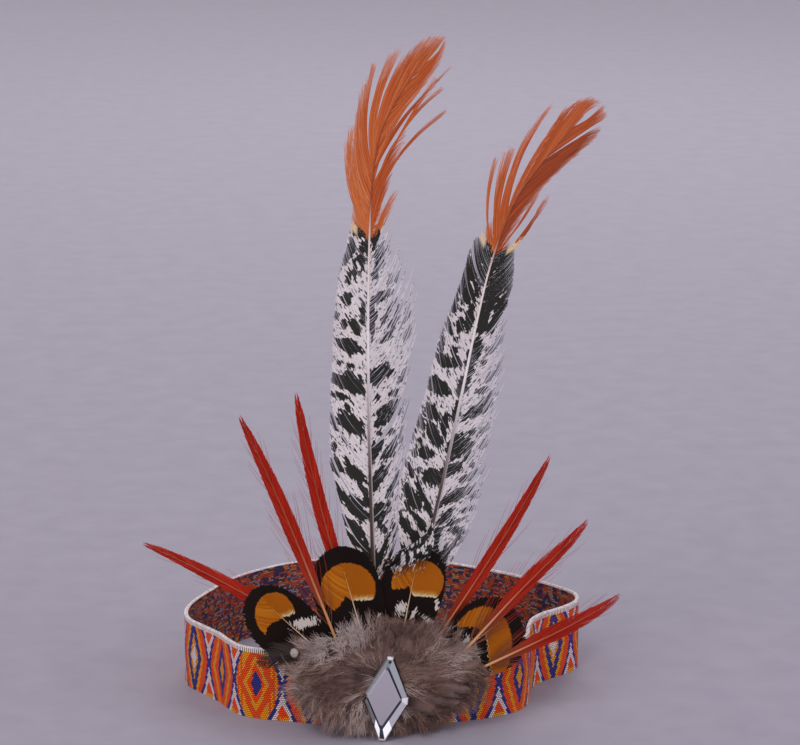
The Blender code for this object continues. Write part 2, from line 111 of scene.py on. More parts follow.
floor_mesh.materials.append(paint)

bpy.context.scene.view_settings.view_transform = "Standard"
sky = bpy.data.worlds.new("studio")
sky.use_nodes = True
sky.node_tree.nodes["Background"].inputs["Color"].default_value = linear("E6E2E6")
sky.node_tree.nodes["Background"].inputs["Strength"].default_value = 0.75
bpy.context.scene.world = sky


def lamp(name, place, aim, width, power, code):
    """Square softbox that faces a point."""
    light = bpy.data.lights.new(name, "AREA")
    light.shape = "SQUARE"
    light.size = width
    light.energy = power
    light.color = linear(code)[:3]
    made = bpy.data.objects.new(name, light)
    made.location = place
    made.rotation_euler = (Vector(aim) - Vector(place)).to_track_quat("-Z", "Y").to_euler()
    bpy.context.scene.collection.objects.link(made)


lamp("key_softbox", (-0.9, -1.1, 1.5), (0, 0, 0.1), 0.8, 16.0, "FFF6EE")
lamp("fill_softbox", (1.3, -0.9, 0.9), (0, 0, 0.1), 1.0, 6.0, "F3F1F8")
lamp("back_softbox", (0.4, 1.5, 1.3), (0, 0, 0.12), 1.0, 7.0, "FFFFFF")


# Headband: 28 mm jacquard elastic on its edge, sewn into a loop. Three motifs
# repeat seven times round it. The outside shows the stitches of the chart, the
# inside the long floats of the threads that are not in use there.

MM = 0.001
LOOP_WIDTH = 159 * MM
LOOP_DEPTH = 130 * MM
BAND_HEIGHT = 28 * MM
BAND_WALL = 1.4 * MM
# The loop seen from above, from the middle of its front: shares of half its width, and
# of its depth
LOOP_OUTLINE = (
    (0.0, 0.0), (-0.23, 0.011), (-0.39, 0.038), (-0.54, 0.077), (-0.68, 0.114),
    (-0.775, 0.155), (-0.825, 0.215), (-0.865, 0.285), (-0.93, 0.36),
    (-0.99, 0.435), (-1.0, 0.51), (-0.96, 0.60), (-0.87, 0.70), (-0.74, 0.82),
    (-0.60, 0.90), (-0.42, 0.968), (-0.22, 0.997), (0.0, 1.0), (0.22, 0.97),
    (0.43, 0.90), (0.65, 0.79), (0.80, 0.695), (0.92, 0.60), (0.985, 0.52),
    (0.965, 0.445), (0.88, 0.388), (0.77, 0.34), (0.695, 0.285), (0.655, 0.215),
    (0.625, 0.14), (0.56, 0.08), (0.45, 0.04), (0.30, 0.015), (0.15, 0.002),
)
MOTIFS = 21
MOTIF_STITCHES = 25
STITCH_ROWS = 37
PICOT_ROWS = 2
COLUMNS = 2 * MOTIFS * MOTIF_STITCHES
FIRST_MOTIF = 59.2 * MM

WHITE, NAVY, ORANGE, YELLOW, PICOT = 0, 1, 2, 3, 4
# Half width of a motif in mm at its middle, and how much of it is gone at the rims
MOTIF_HALF = 9.3
MOTIF_NARROWS = 4.6
# Outline round each motif: a navy line, then a white one, each up to this far past it
NAVY_LINE = 1.35
WHITE_LINE = 2.9
# The three motifs in turn: how much height counts, and each ring's edge in mm and thread
MOTIF_RINGS = (
    (0.47, ((2.4, NAVY), (3.9, ORANGE), (5.4, YELLOW), (8.0, ORANGE), (99, YELLOW))),
    (0.33, ((1.9, YELLOW), (3.9, NAVY), (6.2, ORANGE), (7.7, YELLOW), (99, ORANGE))),
    (0.30, ((2.9, YELLOW), (5.1, NAVY), (6.7, YELLOW), (99, ORANGE))),
)


def closed_curve(points, count):
    """Smooth closed line through the points, as that many evenly spaced ones."""
    steps = 24
    fine = []
    for i in range(len(points)):
        before, here, there, after = (points[(i + k) % len(points)] for k in (-1, 0, 1, 2))
        for k in range(steps):
            t = k / steps
            fine.append(0.5 * (2 * here + (there - before) * t
                               + (2 * before - 5 * here + 4 * there - after) * t ** 2
                               + (3 * here - before - 3 * there + after) * t ** 3))
    fine = np.array(fine + fine[:1])
    run = np.concatenate(([0.0], np.cumsum(np.linalg.norm(np.diff(fine, axis=0), axis=1))))
    wanted = np.linspace(0.0, run[-1], count, endpoint=False)
    return np.stack([np.interp(wanted, run, fine[:, k]) for k in (0, 1)], 1), run[-1]


outline = [np.array((x * LOOP_WIDTH / 2, y * LOOP_DEPTH)) for x, y in LOOP_OUTLINE]
loop, loop_length = closed_curve(outline, COLUMNS)
along_loop = np.roll(loop, -1, 0) - np.roll(loop, 1, 0)
along_loop /= np.linalg.norm(along_loop, axis=1)[:, None]
loop_out = np.stack([-along_loop[:, 1], along_loop[:, 0]], 1)
if ((loop - loop.mean(0)) * loop_out).sum() < 0:
    loop_out = -loop_out


def motif_thread(kind, x, y):
    """Thread at x, y mm from the middle of a motif: its outline, or else its rings."""
    half_height = 14
    past = abs(x) - (MOTIF_HALF - MOTIF_NARROWS * (abs(y) / half_height) ** 1.6)
    # Between the outlines lies orange, with yellow towards the rims
    if past > WHITE_LINE:
        return ORANGE if abs(y) < 12.3 else YELLOW
    if past > NAVY_LINE:
        return WHITE
    if past > 0:
        return NAVY
    # The third motif has a small white rhombus in its middle
    if kind == 2 and abs(x) / 1.9 + abs(y) / 5.2 < 1:
        return WHITE
    height_share, rings = MOTIF_RINGS[kind]
    reach = abs(x) + height_share * abs(y)
    return next(thread for edge, thread in rings if reach < edge)


def band_mesh():
    """Closed cloth wall, two faces to a stitch, in rows that lie like bricks."""
    rows = STITCH_ROWS + 1
    heights = np.linspace(0.0, BAND_HEIGHT, rows)
    skins = []
    for side in (1, -1):
        ring = loop + loop_out * side * BAND_WALL / 2
        skin = np.empty((rows, COLUMNS, 3))
        skin[:, :, 0] = ring[:, 0]
        skin[:, :, 1] = ring[:, 1]
        skin[:, :, 2] = heights[:, None]
        skins.append(skin.reshape(-1, 3))
    points = np.concatenate(skins)
    back = rows * COLUMNS
    faces, cell, thread = [], [], []
    pitch = loop_length / MOTIFS
    for side in (0, 1):
        for r in range(STITCH_ROWS):
            picot = side == 0 and r >= STITCH_ROWS - PICOT_ROWS
            slip = 0 if picot else r % 2
            for c in range(COLUMNS):
                d = (c + 1) % COLUMNS
                quad = [r * COLUMNS + c, r * COLUMNS + d, (r + 1) * COLUMNS + d,
                        (r + 1) * COLUMNS + c]
                u, v = (c + slip) / 2, (c + slip + 1) / 2
                corners = [(u, r), (v, r), (v, r + 1), (u, r + 1)]
                if side == 0:
                    quad, corners = quad[::-1], corners[::-1]
                else:
                    quad = [k + back for k in quad]
                faces.append(quad)
                cell += [(u, v, side) for u, v in corners]
                stitch = (c + slip) // 2 * 2 + 1 - slip
                run = (stitch / COLUMNS * loop_length - FIRST_MOTIF) / pitch
                kind = int(round(run)) % 3
                x = (run - round(run)) * pitch / MM
                y = ((r + 0.5) / STITCH_ROWS - 0.5) * BAND_HEIGHT / MM
                pick = PICOT if picot else motif_thread(kind, x, y)
                # The outer yellow of the first motif has orange in every second stitch
                if pick == YELLOW and kind == 0 and abs(x) > 5.4 and (stitch // 2 + r) % 2 == 0:
                    pick = ORANGE
                thread.append(pick)
    for r, flip in ((0, False), (rows - 1, True)):
        for c in range(COLUMNS):
            d = (c + 1) % COLUMNS
            quad = [r * COLUMNS + c, r * COLUMNS + d, back + r * COLUMNS + d,
                    back + r * COLUMNS + c]
            faces.append(quad[::-1] if flip else quad)
            cell += [(0.5, 0.5, 0.0)] * 4
            thread.append(WHITE)
    mesh = bpy.data.meshes.new("woven_band")
    mesh.from_pydata(points.tolist(), [], faces)
    spot = mesh.attributes.new("stitch", "FLOAT_VECTOR", "CORNER")
    spot.data.foreach_set("vector", np.array(cell, np.float32).ravel())
    yarn = mesh.attributes.new("thread", "FLOAT", "FACE")
    yarn.data.foreach_set("value", np.array(thread, np.float32))
    return mesh


def add_piece(name, mesh, replaced=()):
    """Mesh object that rides on the one body and stands for the CAD nodes named."""
    piece = bpy.data.objects.new(name, mesh)
    bpy.context.scene.collection.objects.link(piece)
    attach(piece, "root")
    if replaced:
        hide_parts(*replaced)
    return piece


# Polyester and rubber threads: bright and slightly shiny, with painted shade in the gaps between the
# stitches
woven, tree, surface = new_material("woven jacquard elastic", Roughness=0.62,
                                    Specular_IOR_Level=0.3)
yarn = add(tree, "ShaderNodeAttribute", attribute_name="thread")
spot = add(tree, "ShaderNodeAttribute", attribute_name="stitch")
parts = add(tree, "ShaderNodeSeparateXYZ", {0: spot.outputs["Vector"]})
share = add(tree, "ShaderNodeMath", {0: yarn.outputs["Fac"], 1: 0.25}, operation="MULTIPLY")
front = add(tree, "ShaderNodeValToRGB", {0: share}, blend="CONSTANT",
            stops=((0.0, "F2E8EC"), (0.2, "2E3494"), (0.45, "FF5408"), (0.7, "FAAA14"),
                   (0.95, "F6ECEE")))
across = add(tree, "ShaderNodeMath", {0: parts.outputs[0]}, operation="FRACT")
upward = add(tree, "ShaderNodeMath", {0: parts.outputs[1]}, operation="FRACT")
across_hill = add(tree, "ShaderNodeMath", {0: across, 1: 0.5}, operation="SUBTRACT")
upward_hill = add(tree, "ShaderNodeMath", {0: upward, 1: 0.5}, operation="SUBTRACT")
across_square = add(tree, "ShaderNodeMath", {0: across_hill, 1: across_hill}, operation="MULTIPLY")
upward_square = add(tree, "ShaderNodeMath", {0: upward_hill, 1: upward_hill}, operation="MULTIPLY")
gully = add(tree, "ShaderNodeMath", {0: across_square, 1: upward_square}, operation="ADD")
# The selvage's picots have painted shade in the gaps beside them only
picot = add(tree, "ShaderNodeMath", {0: yarn.outputs["Fac"], 1: 3.5}, operation="GREATER_THAN")
beside = add(tree, "ShaderNodeMath", {0: across_square, 1: 2.2}, operation="MULTIPLY")
gully = add(tree, "ShaderNodeMix", {0: picot, 2: gully, 3: beside}, data_type="FLOAT")
# Painted shade: each stitch darkens towards its edges and is nearly black at its corners
shade = add(tree, "ShaderNodeValToRGB", {0: gully},
            stops=((0.08, "FFFFFF"), (0.20, "BCA8A2"), (0.34, "2A1A18")))
front_stitch = add(tree, "ShaderNodeMix", {0: 1.0, 6: front.outputs[0], 7: shade.outputs[0]},
                   data_type="RGBA", blend_type="MULTIPLY")
# Floats of the reverse: dashes three stitches long, in the chart's other threads
float_place = add(tree, "ShaderNodeVectorMath", {0: spot.outputs["Vector"], 1: (0.3, 1.0, 1.0)},
                  operation="MULTIPLY")
float_cell = add(tree, "ShaderNodeVectorMath", {0: float_place}, operation="FLOOR")
float_pick = add(tree, "ShaderNodeTexWhiteNoise", {"Vector": float_cell}, noise_dimensions="3D")
float_mix = add(tree, "ShaderNodeMath", {0: float_pick.outputs["Value"], 1: 0.75}, operation="MULTIPLY")
float_share = add(tree, "ShaderNodeMath", {0: float_mix, 1: share}, operation="ADD")
reverse = add(tree, "ShaderNodeValToRGB", {0: float_share}, blend="CONSTANT",
              stops=((0.0, "96705F"), (0.22, "A4452A"), (0.36, "3A3F70"), (0.50, "C2531F"),
                     (0.66, "9A8A92"), (0.78, "B0431F"), (0.90, "CC8A34"), (0.97, "38345C")))
# The floats of the reverse get the same painted shade between the stitches
reverse_shade = add(tree, "ShaderNodeMix", {0: 0.9, 6: reverse.outputs[0], 7: shade.outputs[0]},
                    data_type="RGBA", blend_type="MULTIPLY")
colour = add(tree, "ShaderNodeMix", {0: parts.outputs[2], 6: front_stitch.outputs[2],
                                     7: reverse_shade.outputs[2]}, data_type="RGBA")
bump = add(tree, "ShaderNodeBump", {"Strength": 0.6, "Distance": 0.0003, "Height": gully},
           invert=True)
tree.links.new(colour.outputs[2], surface.inputs["Base Color"])
tree.links.new(bump.outputs[0], surface.inputs["Normal"])

cloth = band_mesh()
cloth.materials.append(woven)
band = add_piece("woven_band", cloth, ["headband"])


def tube(points, radii, sides, closed=False):
    """Round skin along a line of points with a radius at each."""
    points = np.asarray(points, float)
    count = len(points)
    ahead = np.roll(points, -1, 0) - np.roll(points, 1, 0)
    if not closed:
        ahead[0] = points[1] - points[0]
        ahead[-1] = points[-1] - points[-2]
    ahead /= np.linalg.norm(ahead, axis=1)[:, None]
    guide = np.array((0.0, -1.0, 0.0)) if abs(ahead[:, 1]).max() < 0.9 else np.array((0.0, 0.0, 1.0))
    aside = np.cross(ahead, guide)
    aside /= np.linalg.norm(aside, axis=1)[:, None]
    upper = np.cross(aside, ahead)
    bm = bmesh.new()
    rings = []
    for i in range(count):
        ring = []
        for k in range(sides):
            turn = 2 * math.pi * k / sides
            spoke = aside[i] * math.cos(turn) + upper[i] * math.sin(turn)
            ring.append(bm.verts.new(points[i] + spoke * radii[i]))
        rings.append(ring)
    pairs = list(zip(rings, rings[1:]))
    if closed:
        pairs.append((rings[-1], rings[0]))
    for low, high in pairs:
        for k in range(sides):
            j = (k + 1) % sides
            bm.faces.new((low[k], high[k], high[j], low[j])).smooth = True
    if not closed:
        bm.faces.new(rings[0])
        bm.faces.new(rings[-1])
    bmesh.ops.recalc_face_normals(bm, faces=bm.faces)
    mesh = bpy.data.meshes.new("tube")
    bm.to_mesh(mesh)
    bm.free()
    return mesh


# White polyester yarn of the selvage: soft and matt, with a faint twist in its shade
cord_yarn, tree, surface = new_material("white polyester cord", Roughness=0.7, Sheen_Weight=0.3)
place = add(tree, "ShaderNodeTexCoord")
twist = add(tree, "ShaderNodeTexNoise", {"Vector": place.outputs["Object"], "Scale": 900.0,
                                         "Detail": 2.0})
tone = add(tree, "ShaderNodeValToRGB", {0: twist.outputs[0]}, stops=((0.35, "B7ABB0"), (0.6, "E2D8DC")))
bump = add(tree, "ShaderNodeBump", {"Strength": 0.3, "Distance": 0.0001, "Height": twist.outputs[0]})
tree.links.new(tone.outputs[0], surface.inputs["Base Color"])
tree.links.new(bump.outputs[0], surface.inputs["Normal"])

# A soft cord runs along the top of the band and a finer one along its foot
for name, height, radius in (("band_top_cord", BAND_HEIGHT, 0.78 * MM),
                             ("band_foot_cord", 0.66 * MM, 0.64 * MM)):
    ring = [(x, y, height) for x, y in loop[::2]]
    # Fullest at the right side, where the elastic curls, and thin in front and on the left
    radii = [radius * (0.64 + 0.36 * min(max(y / (24 * MM), 0), 1) * min(max(x / (50 * MM), 0), 1))
             for x, y in loop[::2]]
    mesh = tube(ring, radii, 8, closed=True)
    mesh.materials.append(cord_yarn)
    add_piece(name, mesh)


# Tail feathers: two long pheasant feathers, white with black bars, dipped in orange
# dye at the tip. Each is a quill with hundreds of separate barbs: zipped into a web
# at the left, loose at the right, and long drooping locks in the dyed part.

# The feathers follow the band's round front, and lean back from a hub behind the down
FAN_RADIUS = 160 * MM
HUB = (-5 * MM, 18 * MM)
HUB_RADIUS = 14 * MM
QUILL_STEPS = 400


def fan_point(x, z, layer, lean):
    """Point at x, z on the curved, leaning surface that the feathers follow."""
    x, z = np.asarray(x, float), np.asarray(z, float)
    reach = np.maximum(0.0, np.hypot(x - HUB[0], z - HUB[1]) - HUB_RADIUS)
    y = -BAND_WALL / 2 + x * x / (2 * FAN_RADIUS) + lean * reach - layer
    return np.stack([x, y + 0 * z, z + 0 * x], -1)


class Shaft:
    """Line of a quill on the fan, and points beside it."""

    def __init__(self, root, turns, length, layer, lean):
        self.length, self.layer, self.lean = length, layer, lean
        self.share = np.linspace(0.0, 1.0, QUILL_STEPS + 1)
        self.heading = np.radians(np.interp(self.share, [t[0] for t in turns],
                                            [t[1] for t in turns]))
        step = length / QUILL_STEPS
        self.x = root[0] + np.concatenate(([0], np.cumsum(np.cos(self.heading[:-1])))) * step
        self.z = root[1] + np.concatenate(([0], np.cumsum(np.sin(self.heading[:-1])))) * step

    def beside(self, share, out, forward=0.0):
        """Flat point (x, z) at a share, so far to the left (+) and so far ahead."""
        heading = np.interp(share, self.share, self.heading)
        x = np.interp(share, self.share, self.x)
        z = np.interp(share, self.share, self.z)
        return np.stack([x - np.sin(heading) * out + np.cos(heading) * forward,
                         z + np.cos(heading) * out + np.sin(heading) * forward], -1)

    def place(self, flat, deep=0.0):
        """Points on the fan for flat points, moved to the front by deep."""
        return fan_point(flat[..., 0], flat[..., 1], self.layer + deep, self.lean)

    def spot(self, flat):
        """How far along the shaft and to its left flat points lie."""
        skip = 4
        line = np.stack([self.x, self.z], 1)[::skip]
        index = np.argmin(((flat[:, None] - line[None]) ** 2).sum(2), 1) * skip
        heading = self.heading[index]
        step = flat - line[index // skip]
        ahead = np.cos(heading) * step[:, 0] + np.sin(heading) * step[:, 1]
        out = -np.sin(heading) * step[:, 0] + np.cos(heading) * step[:, 1]
        return index / QUILL_STEPS * self.length + ahead, out


def store(mesh, name, values):
    """Keeps a number or a vector for every point of a mesh."""
    values = np.ascontiguousarray(values, np.float32)
    kind, key = ("FLOAT_VECTOR", "vector") if values.ndim == 2 else ("FLOAT", "value")
    mesh.attributes.new(name, kind, "POINT").data.foreach_set(key, values.ravel())


def strand_tree():
    """Geometry nodes: a thin curved ribbon on every root point of the mesh."""
    tree = bpy.data.node_groups.new("strands", "GeometryNodeTree")
    for label, kind in (("Geometry", "Geometry"), ("Segments", "Int"), ("Tip width", "Float"),
                        ("Frizz", "Float"), ("Frizz size", "Float"), ("Seed", "Int"),
                        ("Material", "Material")):
        tree.interface.new_socket(name=label, in_out="INPUT", socket_type="NodeSocket" + kind)
    tree.interface.new_socket(name="Geometry", in_out="OUTPUT", socket_type="NodeSocketGeometry")
    given = add(tree, "NodeGroupInput").outputs
    joints = add(tree, "ShaderNodeMath", {0: given["Segments"], 1: 1.0}, operation="ADD")
    strip = add(tree, "GeometryNodeMeshGrid", {"Size X": 1.0, "Size Y": 1.0,
                                               "Vertices X": joints, "Vertices Y": 2})
    here = add(tree, "GeometryNodeInputPosition")
    parts = add(tree, "ShaderNodeSeparateXYZ", {0: here})
    share = add(tree, "ShaderNodeMath", {0: parts.outputs[0], 1: 0.5}, operation="ADD")
    strip = add(tree, "GeometryNodeStoreNamedAttribute",
                {"Geometry": strip.outputs["Mesh"], "Name": "along", "Value": share},
                data_type="FLOAT", domain="POINT")
    strip = add(tree, "GeometryNodeStoreNamedAttribute",
                {"Geometry": strip, "Name": "across", "Value": parts.outputs[1]},
                data_type="FLOAT", domain="POINT")
    roots = add(tree, "GeometryNodeStoreNamedAttribute",
                {"Geometry": given["Geometry"], "Name": "origin", "Value": here},
                data_type="FLOAT_VECTOR", domain="POINT")
    spread = add(tree, "GeometryNodeInstanceOnPoints", {"Points": roots, "Instance": strip})
    loose = add(tree, "GeometryNodeRealizeInstances", {"Geometry": spread})
    field = {name: add(tree, "GeometryNodeInputNamedAttribute", {"Name": name},
                       data_type=kind).outputs["Attribute"]
             for name, kind in (("along", "FLOAT"), ("across", "FLOAT"), ("girth", "FLOAT"),
                                ("origin", "FLOAT_VECTOR"), ("aim", "FLOAT_VECTOR"),
                                ("bend", "FLOAT_VECTOR"), ("face", "FLOAT_VECTOR"))}
    square = add(tree, "ShaderNodeMath", {0: field["along"], 1: field["along"]}, operation="MULTIPLY")
    straight = add(tree, "ShaderNodeVectorMath", {0: field["aim"], "Scale": field["along"]},
                   operation="SCALE")
    curve = add(tree, "ShaderNodeVectorMath", {0: field["bend"], "Scale": square}, operation="SCALE")
    path = add(tree, "ShaderNodeVectorMath", {0: straight, 1: curve}, operation="ADD")
    path = add(tree, "ShaderNodeVectorMath", {0: path, 1: field["origin"]}, operation="ADD")
    double = add(tree, "ShaderNodeMath", {0: field["along"], 1: 2.0}, operation="MULTIPLY")
    swing = add(tree, "ShaderNodeVectorMath", {0: field["bend"], "Scale": double}, operation="SCALE")
    ahead = add(tree, "ShaderNodeVectorMath", {0: field["aim"], 1: swing}, operation="ADD")
    aside = add(tree, "ShaderNodeVectorMath", {0: field["face"], 1: ahead},
                operation="CROSS_PRODUCT")
    aside = add(tree, "ShaderNodeVectorMath", {0: aside}, operation="NORMALIZE")
    taper = add(tree, "ShaderNodeMapRange", {"Value": square, "To Min": 1.0,
                                             "To Max": given["Tip width"]})
    wide = add(tree, "ShaderNodeMath", {0: field["across"], 1: field["girth"]}, operation="MULTIPLY")
    wide = add(tree, "ShaderNodeMath", {0: wide, 1: taper}, operation="MULTIPLY")
    shift = add(tree, "ShaderNodeVectorMath", {0: aside, "Scale": wide}, operation="SCALE")
    path_scale = add(tree, "ShaderNodeMath", {0: 1.0, 1: given["Frizz size"]}, operation="DIVIDE")
    spot = add(tree, "ShaderNodeVectorMath", {0: path, "Scale": path_scale}, operation="SCALE")
    stir = add(tree, "ShaderNodeTexNoise", {"Vector": spot, "W": given["Seed"], "Scale": 1.0,
                                            "Detail": 1.0}, noise_dimensions="4D")
    centre = add(tree, "ShaderNodeVectorMath", {0: stir.outputs["Color"], 1: (0.5, 0.5, 0.5)},
                 operation="SUBTRACT")
    wave = add(tree, "ShaderNodeMath", {0: given["Frizz"], 1: field["along"]}, operation="MULTIPLY")
    stray = add(tree, "ShaderNodeVectorMath", {0: centre, "Scale": wave}, operation="SCALE")
    end = add(tree, "ShaderNodeVectorMath", {0: path, 1: shift}, operation="ADD")
    end = add(tree, "ShaderNodeVectorMath", {0: end, 1: stray}, operation="ADD")
    moved = add(tree, "GeometryNodeSetPosition", {"Geometry": loose, "Position": end})
    smooth = add(tree, "GeometryNodeSetShadeSmooth", {"Geometry": moved})
    finish = add(tree, "GeometryNodeSetMaterial", {"Geometry": smooth,
                                                   "Material": given["Material"]})
    add(tree, "NodeGroupOutput", {"Geometry": finish})
    return tree


STRANDS = strand_tree()


def strands(name, start, middle, end, girth, finish, fields, segments, frizz, seed, tip=0.35,
            frizz_size=4 * MM, facing=(0.0, -1.0, 0.0)):
    """Mesh of ribbons that each pass through a start, middle and end point."""
    roots = bpy.data.meshes.new(name + "_roots")
    roots.from_pydata(start.tolist(), [], [])
    store(roots, "aim", 4 * middle - 3 * start - end)
    store(roots, "bend", 2 * start + 2 * end - 4 * middle)
    store(roots, "face", np.broadcast_to(np.array(facing), start.shape))
    store(roots, "girth", np.broadcast_to(np.asarray(girth, float), start.shape[:1]))
    for key, value in fields.items():
        store(roots, key, value)
    holder = bpy.data.objects.new(name + "_roots", roots)
    bpy.context.scene.collection.objects.link(holder)
    growth = holder.modifiers.new("strands", "NODES")
    growth.node_group = STRANDS
    given = {"Segments": segments, "Tip width": float(tip), "Frizz": float(frizz),
             "Frizz size": float(frizz_size), "Seed": seed, "Material": finish}
    for item in STRANDS.interface.items_tree:
        if item.in_out == "INPUT" and item.name in given:
            growth[item.identifier] = given[item.name]
    bpy.context.view_layer.update()
    mesh = bpy.data.meshes.new_from_object(
        holder.evaluated_get(bpy.context.evaluated_depsgraph_get()))
    mesh.name = name
    for spare in ("aim", "bend", "face", "girth", "origin", "across"):
        if spare in mesh.attributes:
            mesh.attributes.remove(mesh.attributes[spare])
    bpy.data.objects.remove(holder, do_unlink=True)
    bpy.data.meshes.remove(roots)
    return mesh


def flat_points(mesh):
    """The x and z of every point of a mesh."""
    points = np.empty(len(mesh.vertices) * 3, np.float32)
    mesh.vertices.foreach_get("co", points)
    return points.reshape(-1, 3)[:, [0, 2]].astype(float)


def clumps(places, size, rng):
    """Middle of the uneven bunch that each place falls in."""
    edges = [places.min()]
    while edges[-1] < places.max():
        edges.append(edges[-1] + size * rng.uniform(0.4, 1.8))
    edges = np.array(edges)
    index = np.clip(np.searchsorted(edges, places, side="right") - 1, 0, len(edges) - 2)
    return (edges[index] + edges[index + 1]) / 2


def vane_barbs(shaft, edge, side, count, rng, slope, pull, width, roots=(0.1, 0.95),
               short=(1.0, 1.0), rough=0.015, splits=(), clump=6 * MM, thick=1.0, bow=0.0):
    """Start, middle, end and girth of one side's barbs, spaced evenly along its edge.

    edge: share of the quill, and how far out the web reaches there, in widths.
    splits: share of the quill, and by how many mm the barbs part there.
    """
    share = np.linspace(edge[0][0], edge[-1][0], 600)
    out = np.interp(share, [row[0] for row in edge], [row[1] for row in edge]) * width
    run = np.concatenate(([0.0], np.cumsum(np.hypot(np.diff(share) * shaft.length, np.diff(out)))))
    wanted = (np.arange(count) + rng.uniform(0.2, 0.8, count)) / count * run[-1]
    share, out = np.interp(wanted, run, share), np.interp(wanted, run, out)
    root = np.clip(share - slope * out / shaft.length, *roots)
    # Barbs cling together in bunches, and part at the splits
    shift = (clumps(root * shaft.length, clump, rng) - root * shaft.length) * pull
    for place, strength in splits:
        gap = (root - place) * shaft.length
        shift += np.sign(gap) * strength * MM * np.exp(-np.abs(gap) / (5 * MM))
    reach = rng.uniform(*short, count) * (1 + rng.normal(0, rough, count))
    forward = (share - root) * shaft.length * reach ** 1.2 + shift
    out = out * reach
    lift = rng.uniform(-0.06, 0.06, count) * MM
    # The web bows back towards its edge
    arch = bow * (out / (14 * MM)) ** 2
    start = shaft.place(shaft.beside(root, 0.0), lift)
    middle = shaft.place(shaft.beside(root, side * out * 0.60, forward * 0.42), lift - arch * 0.36)
    end = shaft.place(shaft.beside(root, side * out, forward), lift - arch)
    return start, middle, end, np.full(count, run[-1] / count * thick)


def led_barbs(shaft, leaders, count, rng, girth=0.36 * MM, scatter=0.5 * MM, frayed=0.12):
    """Barbs that change evenly from one leader to the next.

    leaders: share of the quill at the root, then x and z in mm of the middle and the tip.
    """
    step = (np.arange(count) + rng.uniform(0, 1, count)) / count * (len(leaders) - 1)
    index = np.arange(len(leaders))
    root = np.interp(step, index, [row[0] for row in leaders]) + rng.normal(0, 0.002, count)
    middle, end = (np.stack([np.interp(step, index, [row[k][j] * MM for row in leaders])
                             for j in (0, 1)], 1) for k in (1, 2))
    start = shaft.beside(root, rng.normal(0, 0.1 * MM, count))
    stray = rng.normal(0, scatter, (count, 2))
    middle = middle + stray * 0.35
    end = middle + (end + stray - middle) * (1 - frayed * rng.random(count) ** 2)[:, None]
    lift = rng.uniform(-0.1, 0.1, count) * MM
    return (shaft.place(start, lift), shaft.place(middle, lift), shaft.place(end, lift),
            np.full(count, girth))


def joined(groups):
    """Start, middle, end and girth of several groups of barbs in one."""
    return tuple(np.concatenate([group[k] for group in groups]) for k in range(4))


def quill(shaft, width, finish, last, deep, tip=0.16, fall=0.9):
    """Tapered round quill that knows how high and how far to the side it is."""
    rings, sides = 60, 8
    share = np.linspace(0.0, last, rings)
    radii = width / 2 * (1 - (1 - tip) * (share / last) ** fall)
    mesh = tube(shaft.place(shaft.beside(share, 0.0), deep), radii, sides)
    store(mesh, "rise", np.repeat(share, sides))
    store(mesh, "turn", np.tile(np.cos(np.arange(sides) * 2 * math.pi / sides), rings))
    mesh.materials.append(finish)
    return mesh


def oval_reach(x, z, middle_x, middle_z, long, wide, turn):
    """How far points lie from the middle of a turned oval, with 1 at its edge."""
    c, s = math.cos(math.radians(turn)), math.sin(math.radians(turn))
    return np.hypot(((x - middle_x) * c + (z - middle_z) * s) / long,
                    ((z - middle_z) * c - (x - middle_x) * s) / wide)


def dark_field(flat, blots, ground):
    """How deep points lie in the nearest black blot, in mm, with a little more at its edge."""
    thinnest, deepest, begins = 0.7, 1.6, 0.34
    x, z = flat.T / MM
    value = ground
    for middle_x, middle_z, long, wide, turn in blots:
        far = oval_reach(x, z, middle_x, middle_z, long, max(wide, thinnest), turn)
        value = np.maximum(value, (1 - far) * min(wide, deepest) + begins)
    return value


# Keratin barbs: matt with a silky gleam. The black breaks up into blots and specks
# that follow the barbs; above the dip line they are orange and fade at the ends
barred, tree, surface = new_material("barred feather barbs", Roughness=0.6, Specular_IOR_Level=0.3)
spot = add(tree, "ShaderNodeAttribute", attribute_name="spot")
mark = add(tree, "ShaderNodeAttribute", attribute_name="mark")
tint = add(tree, "ShaderNodeAttribute", attribute_name="tint")
along = add(tree, "ShaderNodeAttribute", attribute_name="along")
marks = add(tree, "ShaderNodeSeparateXYZ", {0: mark.outputs["Vector"]})
broad = add(tree, "ShaderNodeTexNoise", {"Vector": spot.outputs["Vector"], "Scale": 0.62,
                                         "Detail": 1.0})
fine = add(tree, "ShaderNodeTexNoise", {"Vector": spot.outputs["Vector"], "Scale": 1.5,
                                        "Detail": 1.0})
blot = add(tree, "ShaderNodeMapRange", {"Value": broad.outputs[0], "From Min": 0.3, "From Max": 0.7,
                                        "To Min": -0.55, "To Max": 0.55}, clamp=False)
speck = add(tree, "ShaderNodeMapRange", {"Value": fine.outputs[0], "From Min": 0.3, "From Max": 0.7,
                                         "To Min": -0.2, "To Max": 0.2}, clamp=False)
total = add(tree, "ShaderNodeMath", {0: marks.outputs[0], 1: blot}, operation="ADD")
total = add(tree, "ShaderNodeMath", {0: total, 1: speck}, operation="ADD")
black = add(tree, "ShaderNodeMapRange", {"Value": total, "From Min": -0.06, "From Max": 0.06})
dots = add(tree, "ShaderNodeTexNoise", {"Vector": spot.outputs["Vector"], "Scale": 0.95})
dots = add(tree, "ShaderNodeMapRange", {"Value": dots.outputs[0], "From Min": 0.60, "From Max": 0.63})
black = add(tree, "ShaderNodeMath", {0: black, 1: dots}, operation="MAXIMUM")
white = add(tree, "ShaderNodeValToRGB", {0: tint.outputs["Fac"]},
            stops=((0.0, "CFC6CB"), (1.0, "EDE6EA")))
plain = add(tree, "ShaderNodeMix", {0: black, 6: white.outputs[0], 7: linear("252521")},
            data_type="RGBA")
orange = add(tree, "ShaderNodeValToRGB", {0: tint.outputs["Fac"]},
             stops=((0.0, "84300E"), (0.5, "BC521E"), (1.0, "DA8450")))
